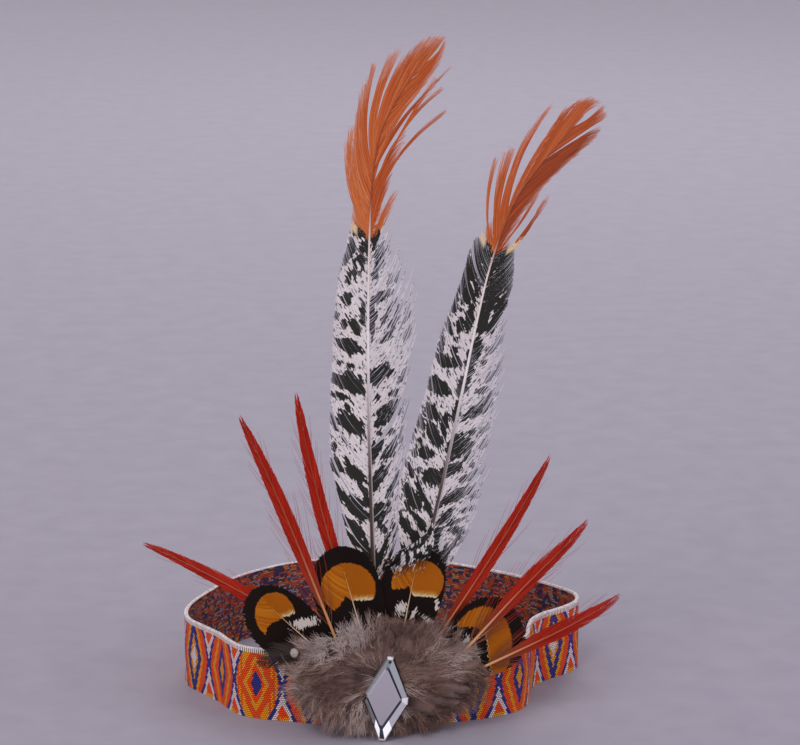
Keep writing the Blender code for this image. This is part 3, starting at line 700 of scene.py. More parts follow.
faded = add(tree, "ShaderNodeValToRGB", {0: along.outputs["Fac"]},
            stops=((0.72, "000000"), (1.0, "C0C0C0")))
tipped = add(tree, "ShaderNodeMix", {0: faded.outputs[0], 6: orange.outputs[0], 7: linear("DDAFA6")},
             data_type="RGBA")
edge_stir = add(tree, "ShaderNodeMath", {0: speck, 1: 7.0}, operation="MULTIPLY")
dip = add(tree, "ShaderNodeMath", {0: marks.outputs[1], 1: edge_stir}, operation="ADD")
dipped = add(tree, "ShaderNodeMapRange", {"Value": dip, "From Min": -0.3, "From Max": 0.5})
fringe = add(tree, "ShaderNodeMapRange", {"Value": marks.outputs[2], "From Min": -0.5, "From Max": 0.8})
yellowed = add(tree, "ShaderNodeMix", {0: fringe, 6: plain.outputs[2], 7: linear("E3C79A")},
               data_type="RGBA")
dyed = add(tree, "ShaderNodeMix", {0: dipped, 6: yellowed.outputs[2], 7: tipped.outputs[2]},
           data_type="RGBA")
tree.links.new(dyed.outputs[2], surface.inputs["Base Color"])

# Quill keratin: smooth and a little glossy, brown below with a pale left edge
quill_horn, tree, surface = new_material("quill keratin", Roughness=0.35, IOR=1.54)
rise = add(tree, "ShaderNodeAttribute", attribute_name="rise")
turn = add(tree, "ShaderNodeAttribute", attribute_name="turn")
brown = add(tree, "ShaderNodeValToRGB", {0: rise.outputs["Fac"]},
            stops=((0.0, "33241F"), (0.34, "4E3D38"), (0.44, "B9AFB2"), (0.52, "F4F0F2"),
                   (0.68, "EADCD4"), (0.74, "9A4A22")))
upper = add(tree, "ShaderNodeValToRGB", {0: rise.outputs["Fac"]},
            stops=((0.0, "8D7F7C"), (0.34, "D6CED0"), (0.5, "F8F5F7"), (0.68, "EADCD4"),
                   (0.74, "9A4A22")))
left = add(tree, "ShaderNodeMapRange", {"Value": turn.outputs["Fac"], "From Min": 0.2,
                                        "From Max": 0.75})
tone = add(tree, "ShaderNodeMix", {0: left, 6: brown.outputs[0], 7: upper.outputs[0]},
           data_type="RGBA")
tree.links.new(tone.outputs[2], surface.inputs["Base Color"])

# How far the tails stand in front of the band, and the half size and the middle of the
# down that hides the feet of all quills
TAIL_LAYER = 1.45 * MM
DOWN_HALF = (40.5 * MM, 20.5 * MM)
DOWN_CENTRE = (-8.5 * MM, 24 * MM)


def root_point(root):
    """Place of a quill's foot behind the down."""
    return (DOWN_CENTRE[0] + root[0] * DOWN_HALF[0], DOWN_CENTRE[1] + root[1] * DOWN_HALF[1])


def tail(side_name, shaft, sides, blots, locks, ground, dip, shades, seed):
    """One tail feather: its webs, its dyed locks and its quill.

    blots: x and z of the middle, half length and half width in mm, and turn in degrees.
    locks: shade, number of barbs, scatter in mm, and leaders. Each leader has the share
    of the quill where it starts, and x and z in mm of its middle and of its tip.
    ground: share of the quill, and how near to black the web between the blots is there.
    """
    rng = np.random.default_rng(seed)
    groups, tints = [], []
    for side, look in zip((1, -1), sides):
        for layer in look["webs"]:
            given = {"edge": look["edge"], "splits": look["splits"], **layer}
            groups.append(vane_barbs(shaft, side=side, rng=rng, bow=1.2 * MM, width=MM,
                                     roots=(0.12, 0.74), **given))
            tints.append(rng.uniform(0.3, 1.0, len(groups[-1][0])))
    for shade, count, scatter, leaders in locks:
        groups.append(led_barbs(shaft, leaders, count, rng, scatter=scatter * MM))
        tints.append(np.clip(shade + rng.normal(0, 0.13, count), 0, 1) * shades)
    start, middle, end, girth = joined(groups)
    name = f"tail_feather_{side_name}"
    mesh = strands(name + "_barbs", start, middle, end, girth, barred,
                   {"tint": np.concatenate(tints)}, segments=18, frizz=0.3 * MM, seed=seed)
    run, out = shaft.spot(flat_points(mesh))
    share = np.interp(run / shaft.length, [row[0] for row in ground], [row[1] for row in ground])
    dark = dark_field(flat_points(mesh), blots, share)
    # The dye line is lowest at the shaft, and cream shows under it away from the shaft
    above = (run - dip * shaft.length - np.abs(out)) / MM
    edge = np.minimum(above + 3.5, (np.abs(out) / MM - 4.5) * 1.5)
    store(mesh, "mark", np.stack([dark, above, edge], 1))
    # The specks follow the slanting barbs
    store(mesh, "spot", np.stack([run - 1.1 * np.abs(out), out * 0.8, seed * 9 * MM + 0 * out], 1) / MM)
    add_piece(name + "_barbs", mesh, [name])
    stem = quill(shaft, 3.0 * MM, quill_horn, last=0.97, tip=0.1, deep=0.1 * MM, fall=0.5)
    add_piece(name + "_quill", stem)


# Barbs of a web: zipped, loose, closed near the dye line, and stray hairs out to the edge
WEB = {"count": 620, "slope": 1.7, "thick": 1.0, "pull": 0.12}
LOOSE_WEB = {"count": 440, "slope": 1.5, "short": (0.34, 0.66), "rough": 0.05, "thick": 0.8,
             "pull": 0.2}
CLOSED_TOP = {"count": 260, "slope": 1.2, "thick": 1.1, "pull": 0.05,
              "edge": ((0.60, 8.0), (0.63, 10.6), (0.67, 10.9), (0.70, 9.8), (0.725, 7.6), (0.74, 4.0))}
LOOSE_HAIRS = {"count": 200, "slope": 1.6, "short": (0.75, 1.0), "rough": 0.05, "thick": 0.36,
               "pull": 0.55, "clump": 3.5 * MM}
RIGHT_ROOT = root_point((0.047, -0.488))
RIGHT_LENGTH = 242 * MM
tail(
    "left",
    Shaft(root_point((-0.062, -0.561)),
          ((0.0, 92.5), (0.35, 91.0), (0.60, 89.0), (0.72, 87.0), (0.80, 82.0), (0.86, 64.0),
           (0.92, 53.0), (1.0, 54.0)), 258 * MM, TAIL_LAYER, 0.06),
    ({"edge": ((0.19, 3.0), (0.235, 8.6), (0.316, 12.4), (0.358, 14.6), (0.424, 14.0), (0.498, 13.2),
               (0.572, 12.2), (0.625, 11.0), (0.665, 8.6), (0.70, 7.0), (0.745, 6.0), (0.79, 4.6)),
      "webs": (WEB,),
      "splits": ((0.345, 1.5), (0.277, 1.6), (0.215, 1.2), (0.46, 0.5))},
     {"edge": ((0.19, 3.0), (0.235, 9.7), (0.316, 13.3), (0.358, 14.4), (0.424, 15.0), (0.498, 16.0),
               (0.572, 19.0), (0.614, 18.7), (0.66, 14.5), (0.685, 9.4), (0.71, 6.5), (0.75, 4.6)),
      "webs": (LOOSE_WEB, LOOSE_HAIRS),
      "splits": ((0.375, 2.4), (0.29, 1.0), (0.46, 0.8))}),
    (
        (-19.9, 185.6, 2.8, 1.3, 85), (-16.1, 191.7, 3.2, 0.9, 85), (-18.3, 192.6, 2.3, 0.7, 80),
        (-16, 183.3, 5.6, 0.8, 88), (-14.2, 187.5, 4.7, 0.8, 88), (-24.6, 176.7, 1.9, 0.7, 70),
        (-22, 181.4, 2.3, 0.8, 70), (-20.7, 175.3, 2.4, 0.8, 80), (-18.8, 176.7, 3.2, 0.7, 88),
        (-22, 166.1, 2.6, 1.9, 70), (-25.7, 159.8, 1.1, 0.7, 60), (-22.7, 157.2, 2.1, 0.8, 75),
        (-18.8, 155.7, 3.4, 1.6, -60), (-15.8, 161.2, 3.8, 0.6, 88), (-21.5, 148.7, 4.5, 2.3, -25),
        (-24.4, 142.1, 0.8, 0.8, 0), (-20.8, 141.1, 1.1, 0.8, 0), (-27.5, 143.9, 0.9, 0.5, 70),
        (-25.9, 136, 2.3, 1.9, -20), (-20.2, 134.2, 5.3, 3, -38), (-24.7, 129.4, 3.2, 0.9, -24),
        (-22, 125.3, 0.7, 0.5, 0), (-19.9, 126.6, 0.6, 0.5, 0), (-28, 120.3, 2.6, 0.9, -75),
        (-20.6, 118.5, 5.5, 2.8, -42), (-26.7, 102.9, 4, 2.1, -50), (-19.9, 100.4, 5.3, 2.1, -48),
        (-24.4, 91.6, 5.1, 1, -60), (-19.1, 86.6, 5.1, 2.5, -50), (-26.9, 110.3, 0.9, 0.7, 0),
        (-23, 112.7, 0.8, 0.5, 0), (-18.7, 78.1, 3.8, 1.5, -50), (-22.9, 81, 2.5, 0.9, -55),
        (-15.8, 91.6, 4.2, 0.7, -70), (-10.9, 189.3, 4.1, 1.3, 80), (-9.3, 183.7, 3.8, 1.3, 75),
        (-5, 185.9, 2.6, 1, 70), (-9.3, 179.4, 2.3, 1.3, 60), (-5.1, 173.3, 2.3, 1, 75),
        (-9, 166.9, 4, 1.6, 28), (-11, 175.2, 1.3, 0.9, 0), (-12.5, 161.1, 4.1, 0.8, 85),
        (-12.1, 156.4, 3.8, 0.8, 80), (-4.8, 163.8, 2.1, 0.5, 60), (-7.4, 159.2, 2.3, 0.5, 60),
        (-3.9, 158.1, 1.9, 0.4, 60), (-2, 161.9, 1.9, 0.4, 60), (0.4, 159, 2.3, 0.4, 60),
        (0.1, 178.8, 1.9, 0.5, 60), (-1.8, 175.1, 1.7, 0.4, 60), (1.3, 152.3, 1.9, 0.5, 60),
        (-4.8, 154.4, 2.1, 0.6, 60), (-7.5, 152.1, 1.7, 0.6, 60), (-10.3, 137.4, 4.9, 2.6, 35),
        (-0.5, 137.7, 2.8, 0.6, 55), (-7.2, 122.9, 5.9, 2.3, 52), (0.1, 123, 2.8, 0.8, 72),
        (-2.1, 124.8, 2.5, 0.7, 75), (-11.7, 108.8, 4.2, 1.9, 65), (-7.6, 107.8, 3.8, 0.8, 65),
        (-4.3, 109.6, 3.8, 0.8, 70), (-1.9, 113.4, 2.7, 0.8, 75), (-11.2, 97.3, 4.8, 1.7, 60),
        (-5.4, 94.3, 5, 1, 65), (-8, 100.1, 2.3, 0.6, 65), (-11.6, 84.8, 4.2, 2.1, 60),
        (-7.3, 85.6, 3.8, 0.9, 60), (-3.8, 77.8, 3.8, 0.9, -60), (-9.3, 78.9, 4.2, 1, -55),
        (-5.1, 129.7, 0.7, 0.5, 0), (-10.7, 129.3, 0.6, 0.6, 0), (-3.6, 130.6, 0.6, 0.5, 0),
        (-9.9, 115, 0.8, 0.5, 0), (-5.7, 115.4, 0.8, 0.4, 0), (-17, 72, 6, 1, -60), (-14, 68, 5, 1, -75),
        (-20, 74, 5, 0.8, -50), (-9, 70, 5, 0.9, 70), (-7, 66, 5, 0.8, 60), (-12.5, 64, 6, 1.2, 85),
        (-5, 73, 4, 0.7, 75), (-16, 62, 5, 1, -70), (-8, 60, 5, 1, 75),
    ),
    (
        (0.75, 60, 0.7, ((0.682, (-18.7, 201.5), (-21.1, 214.6)), (0.696, (-19.3, 210.8), (-20.3, 225.7)),
                         (0.718, (-19.3, 216.4), (-19.1, 232.3)))),
        (0.70, 120, 0.5, ((0.690, (-16.4, 200.0), (-16.8, 212.0)), (0.704, (-18.2, 206.1), (-19.2, 222.0)),
                          (0.733, (-17.6, 217.3), (-17.2, 236.0)), (0.754, (-16.0, 223.7), (-15.3, 243.4)),
                          (0.769, (-14.4, 229.2), (-13.2, 249.0)))),
        (0.72, 34, 0.5, ((0.775, (-14.1, 232.0), (-10.9, 254.0)), (0.779, (-13.9, 232.5), (-10.6, 253.6)))),
        (0.68, 70, 0.6, ((0.783, (-12.6, 233.4), (-6.8, 252.1)), (0.795, (-10.6, 237.0), (-4.5, 257.2)),
                         (0.805, (-8.7, 240.1), (-0.4, 259.7)))),
        (0.60, 130, 0.5, ((0.800, (-8.6, 237.5), (-0.8, 254.0)), (0.820, (-5.7, 243.0), (3.0, 258.4)),
                          (0.835, (-2.4, 246.9), (6.9, 261.7)), (0.859, (1.8, 250.5), (10.9, 263.4)),
                          (0.890, (6.3, 254.1), (13.9, 263.4)), (0.931, (10.8, 256.5), (15.6, 262.7)))),
        (0.55, 180, 0.3, ((0.735, (-10.2, 215.0), (-5.6, 229.0)), (0.754, (-8.6, 220.4), (-2.0, 234.6)),
                          (0.783, (-5.6, 228.0), (3.2, 240.7)), (0.812, (-1.2, 235.2), (8.6, 246.8)),
                          (0.842, (2.2, 241.0), (12.8, 252.6)), (0.869, (5.6, 246.2), (15.0, 257.0)),
                          (0.903, (8.8, 251.6), (16.0, 260.4)), (0.949, (12.3, 256.8), (16.0, 262.0)))),
        (0.35, 30, 0.35, ((0.776, (-3.6, 229.0), (7.7, 240.8)), (0.783, (2.2, 235.6), (18.8, 253.0)))),
        (0.55, 12, 0.4, ((0.754, (-1.4, 227.3), (12.7, 248.0)), (0.757, (-1.2, 227.5), (12.4, 248.3)))),
        (0.42, 20, 0.4, ((0.740, (-0.9, 228.0), (14.9, 244.2)), (0.743, (-0.7, 228.4), (14.7, 244.4)))),
        (0.40, 26, 0.4, ((0.716, (-3.2, 217.4), (15.8, 235.5)), (0.720, (-3.0, 218.1), (16.0, 235.9)))),
        (0.45, 90, 0.5, ((0.675, (-10.2, 198.0), (-6.6, 208.0)), (0.689, (-9.1, 205.2), (-4.1, 216.2)),
                         (0.699, (-7.9, 212.2), (-1.5, 221.0)), (0.723, (-7.1, 218.2), (1.6, 229.8)))),
        (0.62, 40, 0.7, ((0.645, (-9.9, 189.2), (-5.0, 201.4)), (0.667, (-10.2, 194.0), (-2.9, 206.9)))),
    ),
    ((0.0, -0.2), (0.24, -0.5), (0.5, -0.6), (0.66, -0.4), (0.72, -0.1)), 0.683, 1.0, 11,
)
tail(
    "right",
    Shaft(RIGHT_ROOT,
          ((0.0, 75.5), (0.30, 76.5), (0.55, 78.0), (0.66, 76.0), (0.72, 70.0), (0.78, 66.0),
           (0.83, 50.0), (0.90, 44.0), (1.0, 40.0)), RIGHT_LENGTH, TAIL_LAYER, 0.045),
    ({"edge": ((0.20, 3.0), (0.235, 9.0), (0.27, 13.0), (0.34, 16.0), (0.41, 15.0), (0.49, 13.6),
               (0.57, 13.0), (0.62, 10.6), (0.67, 9.3), (0.715, 9.0), (0.745, 6.4), (0.78, 4.0)),
      "webs": (WEB,),
      "splits": ((0.66, 0.9), (0.52, 0.7), (0.42, 0.5), (0.30, 0.8))},
     {"edge": ((0.20, 3.0), (0.24, 12.0), (0.28, 15.0), (0.34, 17.0), (0.41, 16.4), (0.49, 15.4),
               (0.55, 15.6), (0.59, 13.0), (0.63, 11.0), (0.67, 9.0), (0.70, 6.5), (0.74, 4.0)),
      "webs": (LOOSE_WEB, LOOSE_HAIRS, CLOSED_TOP),
      "splits": ((0.57, 1.8), (0.50, 0.8), (0.40, 0.6), (0.32, 0.9))}),
    (
        (26.7, 186, 5.1, 2.3, 75), (22.4, 174, 4.7, 2.7, 60), (18.7, 163.3, 2.8, 1.3, 70),
        (23.8, 167.3, 4, 1.7, 75), (20.6, 155.1, 2.8, 1, 85), (24.5, 158.2, 5.1, 1.5, 80),
        (30, 187.2, 5.7, 0.9, 80), (13.5, 154.1, 2.1, 0.9, 80), (15.4, 156.8, 4.2, 0.9, -65),
        (18.5, 146.2, 1.5, 1, 0), (13.5, 148.4, 1.9, 0.9, 85), (14.8, 142.4, 3.6, 1.9, -40),
        (19.2, 142.3, 2.9, 1.3, -60), (24.3, 142, 4.8, 1.3, 75), (11.9, 132.7, 5.3, 2.5, -35),
        (9.7, 122.8, 3.6, 2.1, -50), (14.5, 117.7, 4.2, 1.4, 80), (10.5, 114.3, 5.1, 2.1, -62),
        (5.3, 119.3, 2.8, 1.7, -50), (7.3, 107.3, 3, 1.9, -20), (10, 97.9, 3.6, 3.1, -10),
        (4.5, 100.9, 1.1, 1, 0), (1.4, 101, 3.2, 0.9, -65), (2.3, 89.9, 5.3, 2.1, -60),
        (5, 93.6, 4.2, 0.9, -75), (3.1, 107.2, 1.5, 0.8, 60), (2.4, 114.5, 1.7, 0.8, 60),
        (5.1, 112.4, 1.9, 0.8, 40), (19.2, 150, 1.1, 0.9, 0), (7.8, 86.2, 3.2, 1.1, -70),
        (-0.4, 79.8, 3.8, 1.3, -60), (4.9, 80.5, 3.8, 1.3, -60), (0.2, 86.6, 2.1, 0.8, -55),
        (3.7, 74.8, 4.2, 1.1, -50), (21.2, 168.4, 1.3, 0.8, 40), (34.4, 187.9, 4.2, 1.9, 80),
        (37.2, 173.4, 6.9, 2.9, 80), (33.4, 166.1, 5.7, 2.9, 75), (36.4, 161.1, 3.8, 2.1, 70),
        (29.9, 157.8, 6.1, 2.1, 75), (33.4, 154.7, 3.2, 1.5, 60), (26.7, 145.7, 4.6, 2.1, 70),
        (34.9, 147.1, 5.2, 1.1, 42), (29.9, 140.6, 1.1, 0.8, 0), (33.4, 135.5, 3.3, 1.1, 32),
        (29.6, 129.9, 2.3, 1.2, 10), (27.6, 122.4, 5.7, 1.9, 22), (21.8, 132.6, 4.6, 1.9, 70),
        (24.5, 137.2, 3.2, 1.3, 60), (32.4, 127.2, 3.4, 1.1, 28), (19.4, 109.2, 4.8, 3.2, 50),
        (23.7, 107.4, 2.9, 1.5, 60), (29.9, 108.8, 2.1, 1.3, 30), (33.9, 107.5, 1.9, 0.9, 40),
        (17.1, 100.7, 4.2, 2.1, 15), (23.1, 96.8, 2.5, 1.2, 20), (28.4, 98.8, 3.3, 1.2, 25),
        (33.4, 101.7, 2.5, 0.7, 35), (19, 90.1, 6.9, 1.9, 24), (26.4, 89, 3.3, 0.9, -12),
        (14.6, 81.7, 4.2, 1.5, 45), (20.4, 76.1, 4, 1.2, -10), (18.5, 79.7, 2.9, 0.8, 20),
        (19.1, 122.2, 3.8, 1.3, 75), (30.4, 114.6, 1.9, 0.8, 35), (34.4, 113.3, 2.1, 0.7, 40),
        (25.4, 114, 1.3, 1, 0), (37.9, 140.9, 2.1, 0.6, 45), (38.9, 154.2, 2.9, 0.9, 45),
        (37.4, 148.6, 1.9, 0.8, 45), (11.6, 75.3, 3.8, 1.1, 65), (24.4, 84.1, 2.5, 0.7, 10),
        (28.4, 84.7, 1.5, 0.6, -20), (29.9, 93.3, 1.2, 0.6, 20), (25.4, 101.5, 1, 0.8, 0),
        (8, 70, 6, 1, -55), (4, 72, 5, 0.8, -45), (12, 68, 6, 1.1, -65), (17, 70, 5, 0.9, 50),
        (21, 72, 4, 0.7, 30), (0, 69, 5, 0.7, -50), (14, 64, 5, 1, 80), (6, 64, 5, 1, -65),
    ),
    (
        (0.75, 24, 0.5, ((0.706, (31.3, 200.3), (34.8, 218.1)), (0.708, (31.5, 200.0), (35.0, 217.5)))),
        (0.70, 46, 0.7, ((0.718, (34.6, 202.0), (39.5, 219.7)), (0.730, (37.0, 203.6), (42.2, 221.8)))),
        (0.60, 90, 0.5, ((0.722, (36.2, 196.5), (41.0, 207.0)), (0.742, (39.2, 207.1), (47.0, 225.0)),
                         (0.752, (42.4, 212.3), (53.8, 233.0)), (0.764, (45.3, 218.2), (58.0, 237.5)))),
        (0.62, 190, 0.5, ((0.735, (38.6, 195.7), (43.0, 204.5)), (0.751, (40.7, 199.7), (45.9, 209.5)),
                          (0.764, (44.3, 208.3), (52.4, 218.8)), (0.779, (49.8, 217.0), (58.9, 227.6)),
                          (0.803, (55.6, 224.4), (63.6, 234.0)), (0.837, (60.9, 229.4), (68.6, 236.6)),
                          (0.873, (66.7, 232.2), (74.2, 236.8)), (0.918, (71.0, 232.0), (78.2, 235.6)))),
        (0.22, 240, 0.3, ((0.690, (35.6, 183.6), (41.6, 190.0)), (0.711, (38.6, 190.2), (45.9, 196.8)),
                          (0.730, (42.2, 195.2), (51.0, 202.6)), (0.748, (46.2, 200.6), (57.0, 208.6)),
                          (0.773, (51.8, 206.2), (64.6, 214.6)), (0.803, (59.0, 212.4), (71.4, 219.2)),
                          (0.841, (64.6, 218.2), (76.0, 222.6)), (0.873, (68.6, 222.6), (78.0, 225.6)))),
        (0.50, 70, 0.5, ((0.880, (68.6, 224.0), (79.4, 229.4)), (0.907, (71.0, 226.4), (79.8, 230.4)),
                         (0.943, (73.6, 230.2), (79.0, 234.2)))),
        (0.35, 34, 0.4, ((0.687, (45.0, 188.0), (56.9, 202.5)), (0.680, (43.6, 185.0), (51.4, 197.3)))),
        (0.45, 14, 0.4, ((0.715, (42.3, 190.1), (52.0, 204.1)), (0.717, (42.5, 190.4), (51.6, 203.6)))),
    ),
    ((0.0, -0.2), (0.24, -0.5), (0.58, -0.5), (0.63, -0.1), (0.67, 0.5), (0.72, 0.6)), 0.712, 0.85, 12,
)


# Ruffle: loose mottled barbs at the foot of the right tail, frayed and drooping to the
# left. They grow from the tail's own quill and hang over the third eyed feather.

RUFFLE_BARBS = 110
RUFFLE_SEED = 21
RUFFLE_LAYER = 7.0 * MM
rng = np.random.default_rng(RUFFLE_SEED)
foot_shaft = Shaft(RIGHT_ROOT, ((0.0, 75.5), (0.30, 76.5), (1.0, 78.0)), RIGHT_LENGTH, TAIL_LAYER,
                   0.045)
front_shaft = Shaft(RIGHT_ROOT, ((0.0, 75.5), (1.0, 76.5)), RIGHT_LENGTH, RUFFLE_LAYER, 0.0)
ruffle = ((0.27, (3, 76), (-9, 69)), (0.26, (4, 74), (-7, 64)), (0.27, (5, 75), (-3, 62)),
          (0.28, (6, 77), (1, 65)), (0.28, (9, 76), (6, 67)))
# The same draws give each barb its place, at the quill for the root and in front for the rest
start = led_barbs(foot_shaft, ruffle, RUFFLE_BARBS, np.random.default_rng(RUFFLE_SEED))[0]
middle, end, girth = led_barbs(front_shaft, ruffle, RUFFLE_BARBS, rng, girth=0.32 * MM,
                               scatter=1.3 * MM, frayed=0.5)[1:]
mesh = strands("tail_feather_right_ruffle", start, middle, end, girth, barred,
               {"tint": rng.uniform(0.3, 1.0, RUFFLE_BARBS)}, segments=10, frizz=0.8 * MM,
               seed=RUFFLE_SEED)
run, out = foot_shaft.spot(flat_points(mesh))
# Mottled black and white, with no dye
store(mesh, "mark", np.stack([0.1 + 0 * run, -9 + 0 * run, -9 + 0 * run], 1))
store(mesh, "spot", np.stack([run * 0.5, out * 0.9, 0 * out], 1) / MM)
add_piece("tail_feather_right_ruffle", mesh)


# Red feathers: six narrow ones, dyed, with silky barbs that lie close along the
# shaft, a few stray hairs on both sides, and a tan shaft that shows at the foot.

# Dyed barbs: a silky red that differs from barb to barb, and brownish at the foot
red_dye, tree, surface = new_material("red dyed feather barbs", Roughness=0.5, Specular_IOR_Level=0.15)
tint = add(tree, "ShaderNodeAttribute", attribute_name="tint")
mark = add(tree, "ShaderNodeAttribute", attribute_name="mark")
silk = add(tree, "ShaderNodeValToRGB", {0: tint.outputs["Fac"]},
           stops=((0.0, "7C1206"), (0.5, "A81D0B"), (1.0, "C43416")))
foot = add(tree, "ShaderNodeValToRGB", {0: mark.outputs["Fac"]},
           stops=((0.25, "7A4436"), (0.50, "A32A15")))
young = add(tree, "ShaderNodeMapRange", {"Value": mark.outputs["Fac"], "From Min": 0.3,
                                         "From Max": 0.55})
tone = add(tree, "ShaderNodeMix", {0: young, 6: foot.outputs[0], 7: silk.outputs[0]}, data_type="RGBA")
tree.links.new(tone.outputs[2], surface.inputs["Base Color"])
# Tan keratin of the quills: smooth and a little glossy, red with dye towards the tip
tan_horn, tree, surface = new_material("tan quill keratin", Roughness=0.35, IOR=1.54)
rise = add(tree, "ShaderNodeAttribute", attribute_name="rise")
tone = add(tree, "ShaderNodeValToRGB", {0: rise.outputs["Fac"]},
           stops=((0.0, "E0B487"), (0.30, "CC8450"), (0.5, "A84826"), (1.0, "8E2414")))
tree.links.new(tone.outputs[0], surface.inputs["Base Color"])

RED_BARBS = 210
RED_HAIRS = 26
# Edge of the web and reach of the stray hairs: share of the quill, and how far out, in
# widths
RED_EDGE = (
    (0.27, 0.08), (0.34, 0.30), (0.44, 0.44), (0.58, 0.50), (0.72, 0.46), (0.84, 0.36),
    (0.93, 0.26), (0.985, 0.13), (1.0, 0.05),
)
HAIR_EDGE = ((0.28, 0.5), (0.40, 1.15), (0.60, 1.2), (0.78, 0.9), (0.92, 0.5))
# Layers in front of the band, as the feathers overlap
RED_BACK = 3.6 * MM
RED_FRONT = 8.2 * MM
# For each: root, turns of the quill (share, degrees), length and width in mm, layer, lean
REDS = (
    ((-0.141, 0.024), ((0.0, 148), (0.5, 151), (0.8, 157), (1.0, 163)), 95, 5.6, TAIL_LAYER, 0.03),
    ((-0.346, -0.073), ((0.0, 110), (0.5, 111), (1.0, 115)), 109, 5.8, RED_FRONT, 0.0),
    ((-0.099, -0.512), ((0.0, 106), (0.5, 105), (1.0, 99)), 122, 5.6, RED_BACK, 0.03),
    ((0.081, -0.556), ((0.0, 54.5), (0.6, 55), (1.0, 59)), 109, 5.8, RED_BACK, 0.03),
    ((0.556, 0.0), ((0.0, 47), (0.4, 44), (0.7, 38.5), (1.0, 43)), 78, 6.6, RED_FRONT, 0.0),
    ((0.704, -0.146), ((0.0, 21), (0.5, 17), (0.8, 19), (1.0, 26)), 70, 6.8, RED_FRONT, 0.0),
)
for number, (root, turns, length, width, layer, lean) in enumerate(REDS, start=1):
    rng = np.random.default_rng(30 + number)
    shaft = Shaft(root_point(root), turns, length * MM, layer, lean)
    groups = []
    for side in (1, -1):
        groups.append(vane_barbs(shaft, RED_EDGE, side, RED_BARBS, rng, slope=5.4,
                                 roots=(0.18, 0.965), rough=0.03, pull=0.08, clump=8 * MM,
                                 thick=0.62, width=width * MM))
        hairs = vane_barbs(shaft, HAIR_EDGE, side, RED_HAIRS, rng, slope=3.2, roots=(0.16, 0.8),
                           short=(0.3, 1.2), pull=0.3, width=width * MM)
        groups.append(hairs[:3] + (np.full(RED_HAIRS, 0.15 * MM),))
    start, middle, end, girth = joined(groups)
    tints = np.clip(rng.normal(0.5, 0.22, len(start)), 0, 1)
    mesh = strands(f"red_feather_{number}_barbs", start, middle, end, girth, red_dye,
                   {"tint": tints}, segments=8, frizz=0.25 * MM, seed=number)
    run = shaft.spot(flat_points(mesh))[0]
    store(mesh, "mark", run / shaft.length)
    add_piece(f"red_feather_{number}_barbs", mesh, [f"red_feather_{number}"])
    stem = quill(shaft, 1.3 * MM, tan_horn, last=0.97, deep=0.2 * MM)
    add_piece(f"red_feather_{number}_quill", stem)


# Eyed feathers: four short round pheasant feathers over the roots of the rest. On
# each an orange disc sits in a black rim, with a black patch that is notched by the
# pale shaft below it, white marks in the patch, and grey down at the foot.

# Smooth barbs with little gloss: an orange disc with a pale lower edge in a black rim,
# and white marks in the black patch
eyed_barbs, tree, surface = new_material("eyed feather barbs", Roughness=0.5, Specular_IOR_Level=0.12)
eye = add(tree, "ShaderNodeAttribute", attribute_name="eye")
spot = add(tree, "ShaderNodeAttribute", attribute_name="spot")
tint = add(tree, "ShaderNodeAttribute", attribute_name="tint")
eyes = add(tree, "ShaderNodeSeparateXYZ", {0: eye.outputs["Vector"]})
fine = add(tree, "ShaderNodeTexNoise", {"Vector": spot.outputs["Vector"], "Scale": 1.3, "Detail": 2.0})
stir = add(tree, "ShaderNodeMapRange", {"Value": fine.outputs[0], "From Min": 0.3, "From Max": 0.7,
                                        "To Min": -0.5, "To Max": 0.5}, clamp=False)
whites = add(tree, "ShaderNodeMath", {0: eyes.outputs[2], 1: stir}, operation="ADD")
whites = add(tree, "ShaderNodeMapRange", {"Value": whites, "From Min": 0.12, "From Max": 0.22})
patch = add(tree, "ShaderNodeMix", {0: whites, 6: linear("180E0B"), 7: linear("D8CFCB")},
            data_type="RGBA")
orange = add(tree, "ShaderNodeValToRGB", {0: tint.outputs["Fac"]},
             stops=((0.0, "9A4E06"), (0.5, "B2630C"), (1.0, "C27718")))
under = add(tree, "ShaderNodeMath", {0: eyes.outputs[1], 1: stir}, operation="ADD")
fringe_share = add(tree, "ShaderNodeMapRange", {"Value": under, "From Min": -1.2, "From Max": 2.2})
fringe = add(tree, "ShaderNodeValToRGB", {0: fringe_share},
             stops=((0.0, "D9CDBB"), (0.35, "DDC8A2"), (0.6, "C08A3C"), (0.95, "AA5D0A")))
pale = add(tree, "ShaderNodeAttribute", attribute_name="pale")
low = add(tree, "ShaderNodeMath", {0: 1.0, 1: pale.outputs["Fac"]}, operation="SUBTRACT")
disc = add(tree, "ShaderNodeMix", {0: low, 6: fringe.outputs[0], 7: orange.outputs[0]},
           data_type="RGBA")
stir_small = add(tree, "ShaderNodeMath", {0: stir, 1: 0.05}, operation="MULTIPLY")
inside = add(tree, "ShaderNodeMath", {0: eyes.outputs[0], 1: stir_small}, operation="ADD")
inside = add(tree, "ShaderNodeMapRange", {"Value": inside, "From Min": 0.0, "From Max": 0.03})
above = add(tree, "ShaderNodeMapRange", {"Value": under, "From Min": -0.6, "From Max": -0.4})
both = add(tree, "ShaderNodeMath", {0: inside, 1: above}, operation="MULTIPLY")
colour = add(tree, "ShaderNodeMix", {0: both, 6: patch.outputs[2], 7: disc.outputs[2]},
             data_type="RGBA")
tree.links.new(colour.outputs[2], surface.inputs["Base Color"])
# Peach keratin of the quills: smooth and a little glossy, browner towards the tip
peach_horn, tree, surface = new_material("peach quill keratin", Roughness=0.35, IOR=1.54)
rise = add(tree, "ShaderNodeAttribute", attribute_name="rise")
tone = add(tree, "ShaderNodeValToRGB", {0: rise.outputs["Fac"]},
           stops=((0.0, "E8D8CC"), (0.6, "E2C2A0"), (0.8, "C58A3E")))
tree.links.new(tone.outputs[0], surface.inputs["Base Color"])

